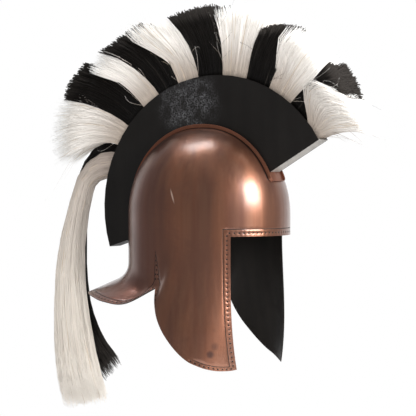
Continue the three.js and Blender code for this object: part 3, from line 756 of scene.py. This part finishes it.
def layHalfDome(topColumns):
    angle = columnAngle(topColumns)
    beltZ = browZ + shell["belt"]
    rings = [planPoint(angle, 1, z) for z in np.linspace(beltZ, equatorZ, 3)[:-1]]
    rings += [domePoint(angle, rise) for rise in np.linspace(0, math.pi / 2, shell["domeRows"] + 1)[:-1]]
    points = np.vstack([*rings, [[0, 0, crownZ]]])
    count, faces = len(angle), []
    for i in range(len(rings) - 1):
        for j in range(count - 1):
            a = i * count + j
            faces.append([a, a + 1, a + 1 + count, a + count])
    last = (len(rings) - 1) * count
    faces += [[last + j, last + j + 1, len(points) - 1] for j in range(count - 1)]
    return points, faces


def facingOut(points, faces):  # turns each face so that it looks away from the helmet's middle
    turned = []
    for face in faces:
        a, b, c = points[face[0]], points[face[1]], points[face[2]]
        normal = np.cross(b - a, c - a)
        away = (a + b + c) / 3 - [0, 0, -150 if a[2] < -100 else -100]
        turned.append(face if np.dot(normal, away * [1, 1, 1 if a[2] > -100 else 0]) > 0 else face[::-1])
    return turned


def vertexNormals(points, faces):
    total = np.zeros_like(points)
    for size in (3, 4):
        group = np.array([f for f in faces if len(f) == size])
        if len(group):
            arms = [points[group[:, k]] - points[group[:, 0]] for k in range(1, size)]
            normal = sum(np.cross(a, b) for a, b in zip(arms[:-1], arms[1:]))
            for k in range(size):
                np.add.at(total, group[:, k], normal)
    return unit(total)


def makeShell():
    skirt, skirtFaces, skirtSunk, topColumns = layHalfSheet()
    dome, domeFaces = layHalfDome(topColumns)
    for k in range(len(topColumns)):  # the dome starts from the very points that the sheet below ends in
        gap = np.linalg.norm(skirt - dome[k], axis=1)
        if gap.min() < 0.5:
            dome[k] = skirt[gap.argmin()]
    half = np.vstack([skirt, dome])
    halfFaces = skirtFaces + [[k + len(skirt) for k in f] for f in domeFaces]
    halfFaces = facingOut(half, halfFaces)
    sunk = np.concatenate([skirtSunk, np.zeros(len(dome))])
    both = np.vstack([half, half * [-1, 1, 1]])
    faces = halfFaces + [[k + len(half) for k in f[::-1]] for f in halfFaces]
    sunk = np.concatenate([sunk, sunk])
    _, first, home = np.unique(np.round(both, 3) + 0.0, axis=0, return_index=True, return_inverse=True)
    home = home.reshape(-1)
    points, sunk = both[first], sunk[first]
    points[np.abs(points[:, 0]) < 1e-3, 0] = 0
    faces = [[int(home[k]) for k in f] for f in faces]
    faces = [f for f in faces if len(set(f)) == len(f)]
    normals = vertexNormals(points, faces)
    outside = points - normals * sunk[:, None]
    inside = points - normals * shell["wall"]
    count, seen = len(points), {}
    for face in faces:
        for a, b in zip(face, face[1:] + face[:1]):
            if (b, a) in seen:
                del seen[(b, a)]
            else:
                seen[(a, b)] = True
    edge = gapTo(points, points[np.unique([k for pair in seen for k in pair])])
    back = [[k + count for k in f[::-1]] for f in faces]
    walls = [[b, a, a + count, b + count] for a, b in seen]
    materials = [0] * len(faces) + [1] * (len(back) + len(walls))
    values = {
        "edge": np.concatenate([edge, edge * 0]),
        "sunk": np.concatenate([np.minimum(sunk / shell["lineDepth"], 1), sunk * 0]),
    }
    sides = [copper, paints["innerBlack"]]
    points, allFaces = np.vstack([outside, inside]), faces + back + walls
    piece = addMesh("helmetShell", points, allFaces, sides, materials, 50, **values)
    print("shell made:", len(faces) * 2 + len(walls), "faces,", len(seen), "rim edges")
    return dress(piece, "helmet_shell")


makeShell()


# The crest: channel, side plates and end caps

crest = {
    "radius": 176.0, "centreY": -18.5, "centreZ": crownZ - 108.2, "frontAngle": 149.5, "rearAngle": -18.0,
    "channelWidth": 39.0, "channelLip": 3.0, "channelSheet": 1.2, "channelClearance": 0.5,
    "overrunFront": 8.0, "overrunRear": 5.0, "endRounding": 6.0, "rings": 120, "points": 9,
}


def domeReach(x, degrees):  # distance from the crest's centre to the dome
    plan, profile = shell["planFullness"], shell["profileFullness"]
    near, far = 0.0, 2 * shell["halfLength"]
    for _ in range(40):
        r = (near + far) / 2
        y = crest["centreY"] + r * math.cos(math.radians(degrees))
        z = crest["centreZ"] + r * math.sin(math.radians(degrees))
        flat = (abs(x) / shell["halfWidth"]) ** plan + (abs(y) / shell["halfLength"]) ** plan
        rise = max(0, z - equatorZ) / shell["height"]
        outside = flat ** (profile / plan) + rise**profile > 1
        near, far = (near, r) if outside else (r, far)
    return near


def crestPoint(x, degrees, radius):
    turn = np.radians(degrees)
    y = crest["centreY"] + radius * np.cos(turn)
    return np.stack([x + 0 * y, y, crest["centreZ"] + radius * np.sin(turn)], -1)


def channelSection(degrees, toEnd, filled):  # toEnd is how far the section is from the front end
    sheet, rounding, back = crest["channelSheet"], crest["endRounding"], min(toEnd, crest["endRounding"])
    half = crest["channelWidth"] / 2 - rounding + math.sqrt(rounding**2 - (rounding - back) ** 2)
    inner = max(half - sheet, 1.0)
    lip = domeReach(0, degrees) + crest["channelLip"]
    seat = lambda x: domeReach(x, degrees) + crest["channelClearance"]
    shares = np.linspace(-1, 1, crest["points"])
    under = [(s * half, seat(s * half)) for s in shares]
    floor = [(-s * inner, lip - 0.05 if filled else seat(s * inner) + sheet) for s in shares]
    rolled = [(half, 0.45), (half - 0.18, 0.1), (half - sheet / 2, 0), (inner + 0.18, 0.1), (inner, 0.45)]
    right = [(x, lip - below) for x, below in rolled]
    left = [(-x, r) for x, r in right[::-1]]
    return np.array([crestPoint(x, degrees, r) for x, r in [*under, *right, *floor, *left]])


def makeChannel():
    front, rear = crest["frontAngle"] + crest["overrunFront"], crest["rearAngle"] - crest["overrunRear"]
    frontReach, rounding = domeReach(0, front), crest["endRounding"]
    wallAngle = math.degrees(crest["channelSheet"] / frontReach)
    endAngles = front - np.degrees((1 - np.cos(np.linspace(math.pi / 2, 0.12, 9))) * rounding / frontReach)
    endAngles = [a for a in endAngles if a < front - wallAngle * 1.02]
    openAngles = [*np.linspace(rear, min(endAngles) - 0.5, crest["rings"]), *endAngles, front - wallAngle]
    closedAngles = front - wallAngle * np.array([0.96, 0.7, 0.4, 0.15, 0.03])
    rings = [
        channelSection(a, math.radians(front - a) * frontReach, filled)
        for angles, filled in ((openAngles, False), (closedAngles, True)) for a in angles
    ]
    points, size, side = np.vstack(rings), len(rings[0]), crest["points"]
    at = np.arange(len(points)) % size
    onLip = (at >= side) & (at < size // 2) | (at >= size // 2 + side)
    # the lip gets a small edge value, so the edge colour paints a highlight along it
    piece = addMesh(
        "crestChannel", points, ringFaces(len(rings), size), [channelCopperPaintedLight], None, 35,
        edge=np.where(onLip, 0.6, 30.0), sunk=np.zeros(len(points)),
    )
    return dress(piece, "crest_channel")


def repaint(node, material):
    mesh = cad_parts[node].data
    mesh.materials.clear()
    mesh.materials.append(material)


makeChannel()
repaint("crest_plate_right", paints["crestBlack"])
repaint("crest_plate_left", paints["crestBlack"])
# the front cap gets the light grey of a painted highlight
repaint("crest_cap_front", paints["capHighlightGrey"])
repaint("crest_cap_rear", paints["crestBlack"])
print("crest box made")


# Strands of hair

def strandMesh(name, paths, radii, material, seed, core=None):
    # Each strand is a closed three-sided prism along its path. paths is strands by points by xyz.
    draw = np.random.default_rng(seed)
    count, steps = paths.shape[:2]
    ahead = unit(np.gradient(paths, axis=1))
    side = unit(np.cross(ahead, unit(draw.normal(size=(count, 1, 3)))))
    other = np.cross(ahead, side)
    turn = np.arange(3) * 2 * math.pi / 3
    ring = side[:, :, None] * np.cos(turn)[:, None] + other[:, :, None] * np.sin(turn)[:, None]
    points = (paths[:, :, None] + ring * radii[:, :, None, None]).reshape(-1, 3)
    base = (np.arange(count) * steps * 3)[:, None, None]
    here = base + np.arange(steps - 1)[None, :, None] * 3 + np.arange(3)[None, None]
    beside = base + np.arange(steps - 1)[None, :, None] * 3 + (np.arange(3)[None, None] + 1) % 3
    quads = np.stack([here, beside, beside + 3, here + 3], -1).reshape(-1, 4)
    start = (np.arange(count) * steps * 3)[:, None]
    caps = np.vstack([start + [2, 1, 0], start + (steps - 1) * 3 + [0, 1, 2]])
    faces = quads.tolist() + caps.tolist()
    along = np.tile(np.repeat(np.linspace(0, 1, steps), 3), count)
    strand = np.repeat(draw.uniform(0, 1, count), steps * 3)
    if core:
        corePoints, coreFaces, coreAlong = core
        faces += [[k + len(points) for k in f] for f in coreFaces]
        points = np.vstack([points, corePoints])
        along = np.concatenate([along, coreAlong])
        strand = np.concatenate([strand, np.full(len(corePoints), 0.6)])
    return addMesh(name, points, faces, [material], None, 0, along=along, strand=strand)


fanEdges = [  # root, bend and tip in degrees about the crest's centre, and reach as a share of the plume's
    (148.4, 151.0, 156.0, 0.69), (142.2, 133.4, 145.5, 0.76), (128.5, 131.6, 132.6, 0.85),
    (116.6, 116.6, 120.2, 0.97), (104.6, 106.0, 108.7, 1.0), (92.7, 93.5, 90.8, 0.97),
    (80.7, 81.4, 75.0, 0.92), (70.2, 70.1, 64.3, 1.11), (59.3, 57.6, 49.6, 1.07),
    (49.6, 50.0, 43.7, 1.15), (38.5, 37.4, 31.8, 1.1), (28.8, 24.0, 13.0, 0.85),
]
# Front and rear stretch a tuft's edges and rise lifts its middle. Swell and flare push it over the next one.
fanFields = ("name", "front", "rear", "rise", "swell", "flare", "flareFrom")
fans = [dict(zip(fanFields, row)) for row in (
    ("tuft_01_white", 1.14, 1, 0.02, 0.78, 0.1, 0.4),
    ("tuft_02_black", 0.96, 1, 0.03, 0, 0, 0.5),
    ("tuft_03_white", 0.93, 1, 0.07, 0.06, 0.26, 0.35),
    ("tuft_04_black", 0.88, 0.78, 0.14, 0, 0, 0.5),
    ("tuft_05_white", 1, 0.97, 0.08, 0, 0.06, 0.5),
    ("tuft_06_black", 1, 1, 0.03, 0, 0, 0.5),
    ("tuft_07_white", 1, 1, 0, 0, 0.62, 0.36),
    ("tuft_08_black", 0.96, 1, 0, 0, 0, 0.5),
    ("tuft_09_white", 1, 0.93, 0, 0, 0.38, 0.5),
    ("tuft_10_black", 1, 1, 0.03, 0, 0, 0.5),
    ("tuft_11_white", 1.04, 1, 0.09, 0, 0, 0.5),
)]
plume = {
    "reach": 94.0, "spread": 22.0, "rootSpread": 9.9, "steps": 6, "loose": 0.6, "outer": 0.55,
    "tuck": 0.16, "tuckEdge": 0.12, "widen": 0.36, "shorten": 0.16, "coreShift": 0.74, "coreWiden": 0.26,
    "white": {
        "strands": 1750, "radius": 0.5, "clumps": 40, "gather": 0.3, "lean": 0.035, "wave": 0.9,
        "short": 0.14, "long": 0.04, "stray": 13, "core": 0.86,
    },
    "black": {
        "strands": 1850, "radius": 0.62, "clumps": 60, "gather": 0.1, "lean": 0.02, "wave": 0.5,
        "short": 0.08, "long": 0.03, "stray": 5, "core": 0.9,
    },
}


def edgePoint(edge, v):
    root, bend, tip, reach = edge
    out = reach * plume["reach"]
    knots = ((root, -4.5), (root, out * 0.2), (bend, out * 0.6), (tip, out))
    a, b, c, d = [crestPoint(0.0, degrees, crest["radius"] + beyond) for degrees, beyond in knots]
    return bezier(a, b, c, d, v[..., None])


def fanPoint(fan, front, rear, across, side, v):  # across and side run over the fan, v from root to tip
    a, b = edgePoint(front, v * fan["front"]), edgePoint(rear, v * fan["rear"])
    p = lerp(a, b, across[..., None])
    p[..., 0] = side * lerp(plume["rootSpread"], plume["spread"], ease(v))
    return p


def overlap(fan, across, v):  # how far hair moves over the tuft behind
    swell = fan["swell"] * np.sin(np.clip(v * 1.05, 0, 1) * math.pi)
    flare = fan["flare"] * ease((v - fan["flareFrom"]) / 0.45)
    return (swell + flare) * np.clip((across - 0.25) / 0.75, 0, 1) ** 1.3


def tucked(index, across, v):  # a black fan is thinner where the white one before it lies over it
    if "white" in fans[index]["name"]:
        return 1.0
    hidden = ease((overlap(fans[index - 1], 1.0, v) - across) / plume["tuckEdge"])
    return 1 - plume["tuck"] * hidden


def coreFan(index, front, rear, end):  # the dense inside of a fan, as one smooth closed body
    fan = fans[index]
    size, rings = 28, 14
    turn = np.arange(size) * 2 * math.pi / size
    square = 0.45  # less than 1 makes the section boxier than an ellipse
    across = 0.5 + 0.49 * np.sign(np.cos(turn)) * np.abs(np.cos(turn)) ** square
    side = -0.95 * np.sign(np.sin(turn)) * np.abs(np.sin(turn)) ** square
    share = np.linspace(0, end, rings)
    fill = 1 - 0.22 * np.clip((share / end - 0.75) / 0.25, 0, 1) ** 2
    rise = end * fan["rise"] * np.sin(math.pi * across)
    body = []
    for t, k in zip(share, fill):
        amount = plume["coreShift"] * overlap(fan, across, t)
        reach = 0.5 + (across - 0.5) * k + amount
        out = side * (k * tucked(index, reach, t)) * (1 + plume["coreWiden"] * ease(amount * 3))
        body.append(fanPoint(fan, front, rear, reach, out, t * (1 + rise)))
    return np.vstack(body), ringFaces(rings, size), np.repeat(share * 0.9, size)


def strayHairs(fan, front, rear, draw, count, steps):  # single hairs that lean over the neighbouring tufts
    edge = draw.integers(0, 2, count).astype(float)
    side = np.where(draw.uniform(0, 1, count) < 0.6, -1.03, 1.03)
    start, run = draw.uniform(0.1, 0.75, count), draw.uniform(0.12, 0.55, count)
    away = np.where(edge > 0, 1, -1) * draw.uniform(0.08, 0.5, count)
    t = np.linspace(0, 1, steps)[None]
    across = edge[:, None] + away[:, None] * np.sin(t * draw.uniform(1.2, 2.6, count)[:, None])
    v = start[:, None] + run[:, None] * t - draw.uniform(0, 0.2, count)[:, None] * t**2
    paths = fanPoint(fan, front, rear, across, side[:, None] * (1 + 0.06 * t * (1 - t)), v)
    return paths, draw.uniform(0.12, 0.2, count)[:, None] * (1.1 - 0.6 * t)


def makeFan(index):
    fan, front, rear = fans[index], fanEdges[index], fanEdges[index + 1]
    tone = "white" if "white" in fan["name"] else "black"
    hair = plume[tone]
    draw = np.random.default_rng(100 + index)
    count, clumps = hair["strands"], hair["clumps"]
    clump = draw.integers(0, clumps, count)
    clumpAcross, clumpSide = draw.uniform(0, 1, clumps)[clump], draw.uniform(-1, 1, clumps)[clump]
    loose = draw.uniform(0, 1, count) < plume["loose"]
    spreadOut = draw.uniform(0, 1, count)
    across = np.where(loose, spreadOut, np.clip(clumpAcross + draw.normal(0, 0.12, count), 0, 1))
    outer = draw.uniform(0, 1, count) < plume["outer"]
    face = np.sign(draw.uniform(-1, 1, count)) * draw.uniform(0.9, 1.0, count)
    side = np.where(outer, face, np.clip(clumpSide + draw.normal(0, 0.3, count), -1, 1))
    length = 1 - hair["short"] * draw.uniform(0, 1, count) ** 1.6
    length += hair["long"] * draw.uniform(0, 1, count) ** 2
    length -= hair["short"] * 0.4 * draw.uniform(0, 1, clumps)[clump]
    v = np.linspace(0, 1, plume["steps"])[None] * length[:, None]
    pull = hair["gather"] * np.clip(v, 0, 1) ** 2 * ~loose[:, None]
    lean = hair["lean"] * draw.normal(0, 1, clumps)[clump] + 0.015 * draw.normal(0, 1, count)
    tilt = 0.06 * draw.normal(0, 1, clumps)[clump] + 0.03 * draw.normal(0, 1, count)
    acrossV = np.clip(lerp(across[:, None], clumpAcross[:, None], pull) + lean[:, None] * v**2, -0.02, 1.02)
    v = v * (1 + fan["rise"] * np.sin(math.pi * across))[:, None]
    amount = overlap(fan, across[:, None], v) * draw.uniform(0.4, 1.1, count)[:, None]
    acrossV = acrossV + amount
    sideV = np.clip(lerp(side[:, None], clumpSide[:, None], pull) + tilt[:, None] * v**2, -1.05, 1.05)
    sideV = sideV * (1 + plume["widen"] * ease(amount * 3)) * tucked(index, acrossV, v)
    paths = fanPoint(fan, front, rear, acrossV, sideV, v * (1 - plume["shorten"] * amount))
    phase = draw.uniform(0, 2 * math.pi, clumps)[clump][:, None]
    paths[..., 1] += hair["wave"] * np.sin(v * 5.5 + phase) * v
    paths[..., 0] += hair["wave"] * 0.5 * np.cos(v * 4.5 + phase * 1.7) * v
    radii = hair["radius"] * draw.uniform(0.75, 1.25, count)[:, None] * (0.55 + 0.45 * v)
    if tone == "white":
        radii = radii * np.clip((1.03 - v / length[:, None]) / 0.3, 0.25, 1)
    strayPaths, strayRadii = strayHairs(fan, front, rear, draw, hair["stray"], plume["steps"])
    paths, radii = np.concatenate([paths, strayPaths]), np.concatenate([radii, strayRadii])
    core = coreFan(index, front, rear, hair["core"])
    piece = strandMesh("hair_" + fan["name"], paths, radii, hairs[tone + "Hair"], 200 + index, core)
    return dress(piece, fan["name"])


for index in range(len(fans)):
    makeFan(index)
print("standing tufts made")

tails = {
    "reach": 72.0, "length": 322.0, "width": 66.0, "depth": 26.0, "steps": 11, "loose": 0.5,
    "root": crestPoint(0.0, 18.9, crest["radius"]),
    "tail_white": {
        "rows": [  # back, drop, side, width, depth
            (-0.092, -0.001, 0, 0.56, 0.7), (0.218, 0.005, -0.2, 0.54, 0.8),
            (0.503, 0.047, -0.32, 0.44, 0.9), (0.661, 0.118, -0.35, 0.4, 0.95),
            (0.86, 0.29, -0.35, 0.53, 1.0), (0.955, 0.443, -0.35, 0.65, 1.0),
            (0.93, 0.621, -0.35, 0.81, 1.0), (0.86, 0.779, -0.35, 0.95, 1.0),
            (0.735, 0.926, -0.35, 1.08, 0.95), (0.56, 1.022, -0.35, 1.08, 0.8),
        ],
        "hair": "tailHair", "slot": "white_hair", "strands": 2000, "radius": 0.62, "clumps": 60,
        "gather": 0.35, "wave": 1.3, "short": 0.1, "long": 0.02, "slant": 0.034, "core": 0.9,
    },
    "tail_black": {
        "rows": [
            (-0.218, -0.058, 0, 0.2, 0.62), (0.26, -0.07, 0.2, 0.22, 0.6),
            (0.687, -0.022, 0.62, 0.21, 0.6), (0.965, 0.094, 0.84, 0.24, 0.7),
            (1.02, 0.253, 0.84, 0.31, 0.8), (1.06, 0.416, 0.84, 0.37, 0.85),
            (1.035, 0.56, 0.84, 0.4, 0.85), (0.88, 0.704, 0.84, 0.5, 0.85),
            (0.601, 0.812, 0.84, 0.6, 0.9), (0.256, 0.89, 0.84, 0.61, 0.95),
        ],
        "hair": "blackHair", "slot": "black_hair", "strands": 1150, "radius": 0.6, "clumps": 40,
        "gather": 0.35, "wave": 0.8, "short": 0.15, "long": 0.02, "slant": 0.0, "core": 0.94,
    },
}


def tailPoint(rows, across, side, v):
    back, drop, aside, width, depth = np.moveaxis(alongRows(rows, v), -1, 0)
    at = np.clip(v, 0.01, 0.99)
    low, high = alongRows(rows, at - 0.01), alongRows(rows, at + 0.01)
    aheadY = (high[..., 0] - low[..., 0]) * tails["reach"]
    aheadZ = -(high[..., 1] - low[..., 1]) * tails["length"]
    run = np.hypot(aheadY, aheadZ)
    half = width * tails["width"] / 2
    x = aside * tails["depth"] + side * depth * tails["depth"] / 2
    y = tails["root"][1] + back * tails["reach"] + across * half * aheadZ / run
    z = tails["root"][2] - drop * tails["length"] - across * half * aheadY / run
    return np.stack([x, y, z], -1)


def makeTail(name, seed):
    hair = tails[name]
    draw = np.random.default_rng(seed)
    count, clumps = hair["strands"], hair["clumps"]
    clumpTurn, clumpOut = draw.uniform(0, 2 * math.pi, clumps), np.sqrt(draw.uniform(0, 1, clumps))
    clump = draw.integers(0, clumps, count)
    clumpAcross, clumpSide = (clumpOut * np.cos(clumpTurn))[clump], (clumpOut * np.sin(clumpTurn))[clump]
    turn, out = draw.uniform(0, 2 * math.pi, count), draw.uniform(0.1, 1, count) ** 0.35
    across, side = out * np.cos(turn), out * np.sin(turn)
    loose = draw.uniform(0, 1, count) < tails["loose"]
    across = np.where(loose, across, clumpAcross + draw.normal(0, 0.16, count))
    side = np.where(loose, side, clumpSide + draw.normal(0, 0.25, count))
    length = 1 - hair["short"] * draw.uniform(0, 1, count) ** 1.5
    length += hair["long"] * draw.uniform(0, 1, count) ** 2
    length -= 0.5 * hair["short"] * draw.uniform(0, 1, clumps)[clump] - hair["slant"] * across
    v = np.linspace(0, 1, tails["steps"])[None] ** 1.35 * length[:, None]
    pull = hair["gather"] * np.clip(v, 0, 1) ** 2 * ~loose[:, None]
    lean = 0.05 * draw.normal(0, 1, clumps)[clump][:, None]
    acrossV = lerp(across[:, None], clumpAcross[:, None], pull) + lean * v**2
    sideV = lerp(side[:, None], clumpSide[:, None], pull)
    fit = np.maximum(np.hypot(acrossV, sideV), 1)
    paths = tailPoint(hair["rows"], acrossV / fit, sideV / fit, np.minimum(v, 1.0))
    phase = draw.uniform(0, 2 * math.pi, clumps)[clump][:, None]
    paths[..., 1] += hair["wave"] * np.sin(v * 9 + phase) * v
    paths[..., 2] -= np.maximum(v - 1, 0) * tails["length"]
    width = hair["radius"] * draw.uniform(0.7, 1.3, count)[:, None]
    radii = width * (0.5 + 0.5 * v) * np.clip((1.05 - v / length[:, None]) / 0.25, 0.3, 1)
    size, rings = 20, 30
    around = np.arange(size) * 2 * math.pi / size
    t = np.linspace(0.0, hair["core"], rings)
    fill = 0.93 - 0.2 * np.clip((t / hair["core"] - 0.88) / 0.12, 0, 1) ** 2
    x, y = np.cos(around), np.sin(around)
    body = [tailPoint(hair["rows"], x * k, y * k, np.full(size, s)) for s, k in zip(t, fill)]
    core = (np.vstack(body), ringFaces(rings, size), np.repeat(t * 0.6, size))
    piece = strandMesh("hair_" + name, paths, radii, hairs[hair["hair"]], seed, core)
    return dress(piece, name)


makeTail("tail_black", 300)
makeTail("tail_white", 301)
print("tails made")


# Camera, light and floor. Lengths here are metres.

studio = {
    "cameraPlace": (-2.3097, -1.3335, -0.0475), "cameraTarget": (-0.00067, 0.00115, -0.1075), "lens": 173.08,
    "floorZ": -0.78, "floorHalf": 2.1, "floorColour": (0.8, 0.8, 0.8, 1),
    "lights": [  # name, place, target, width, height, watts, seen in the copper
        ("key", (-0.4, -1.9, 0.62), (0, 0, -0.05), 1.05, 0.8, 60, True),
        ("top", (-0.25, 0.56, 1.7), (0, 0, 0), 0.5, 0.8, 13, True),
        ("fill", (-2.2, -0.9, 0.7), (0, 0, -0.05), 1.8, 1.6, 52, False),
    ],
    "backdrop": 1.0, "dim": 0.2, "brightSide": (0.866, 0.5, 0.0), "dimBelow": 0.3, "brightAbove": 0.75,
}


def makeCamera():
    data = bpy.data.cameras.new("camera")
    data.lens = studio["lens"]
    data.sensor_width = 36
    camera = bpy.data.objects.new("camera", data)
    bpy.context.scene.collection.objects.link(camera)
    camera.location = studio["cameraPlace"]
    ahead = Vector(studio["cameraTarget"]) - Vector(studio["cameraPlace"])
    camera.rotation_euler = ahead.to_track_quat("-Z", "Y").to_euler()
    bpy.context.scene.camera = camera


def makeLights():
    for name, spot, target, width, height, watts, seen in studio["lights"]:
        data = bpy.data.lights.new(name, "AREA")
        data.shape, data.size, data.size_y, data.energy = "RECTANGLE", width, height, watts
        light = bpy.data.objects.new(name, data)
        bpy.context.scene.collection.objects.link(light)
        light.location = spot
        light.rotation_euler = (Vector(target) - Vector(spot)).to_track_quat("-Z", "Y").to_euler()
        light.visible_glossy = seen
        light.visible_camera = False


def makeWorld():
    world = bpy.data.worlds.new("studioWhite")
    bpy.context.scene.world = world
    world.use_nodes = True
    tree = world.node_tree
    back = tree.nodes["Background"]
    direction = addNode(tree, "ShaderNodeTexCoord").outputs["Generated"]
    behind = vectorMath(tree, "DOT_PRODUCT", direction, studio["brightSide"])
    low, high = studio["dimBelow"], studio["brightAbove"]
    seen = smoothRange(tree, behind, low, high, studio["dim"], studio["backdrop"])
    path = addNode(tree, "ShaderNodeLightPath")
    level = addNode(tree, "ShaderNodeMix", {0: path.outputs["Is Camera Ray"], 2: seen, 3: 1.0}).outputs[0]
    tree.links.new(level, back.inputs["Strength"])
    back.inputs["Color"].default_value = (1, 1, 1, 1)


def makeFloor():
    half, z = studio["floorHalf"] / mm, studio["floorZ"] / mm
    turn = np.linspace(0, 2 * math.pi, 96, endpoint=False)
    points = [[half * math.cos(t), half * math.sin(t), z] for t in turn]
    material, tree, shader = makeMaterial("paleFloor", Roughness=0.8)
    shader.inputs["Base Color"].default_value = studio["floorColour"]
    floor = addMesh("floor", points, [list(range(96))], [material])


makeCamera()
makeLights()
makeWorld()
makeFloor()
bpy.context.scene.view_settings.view_transform = "Standard"
print("studio made")
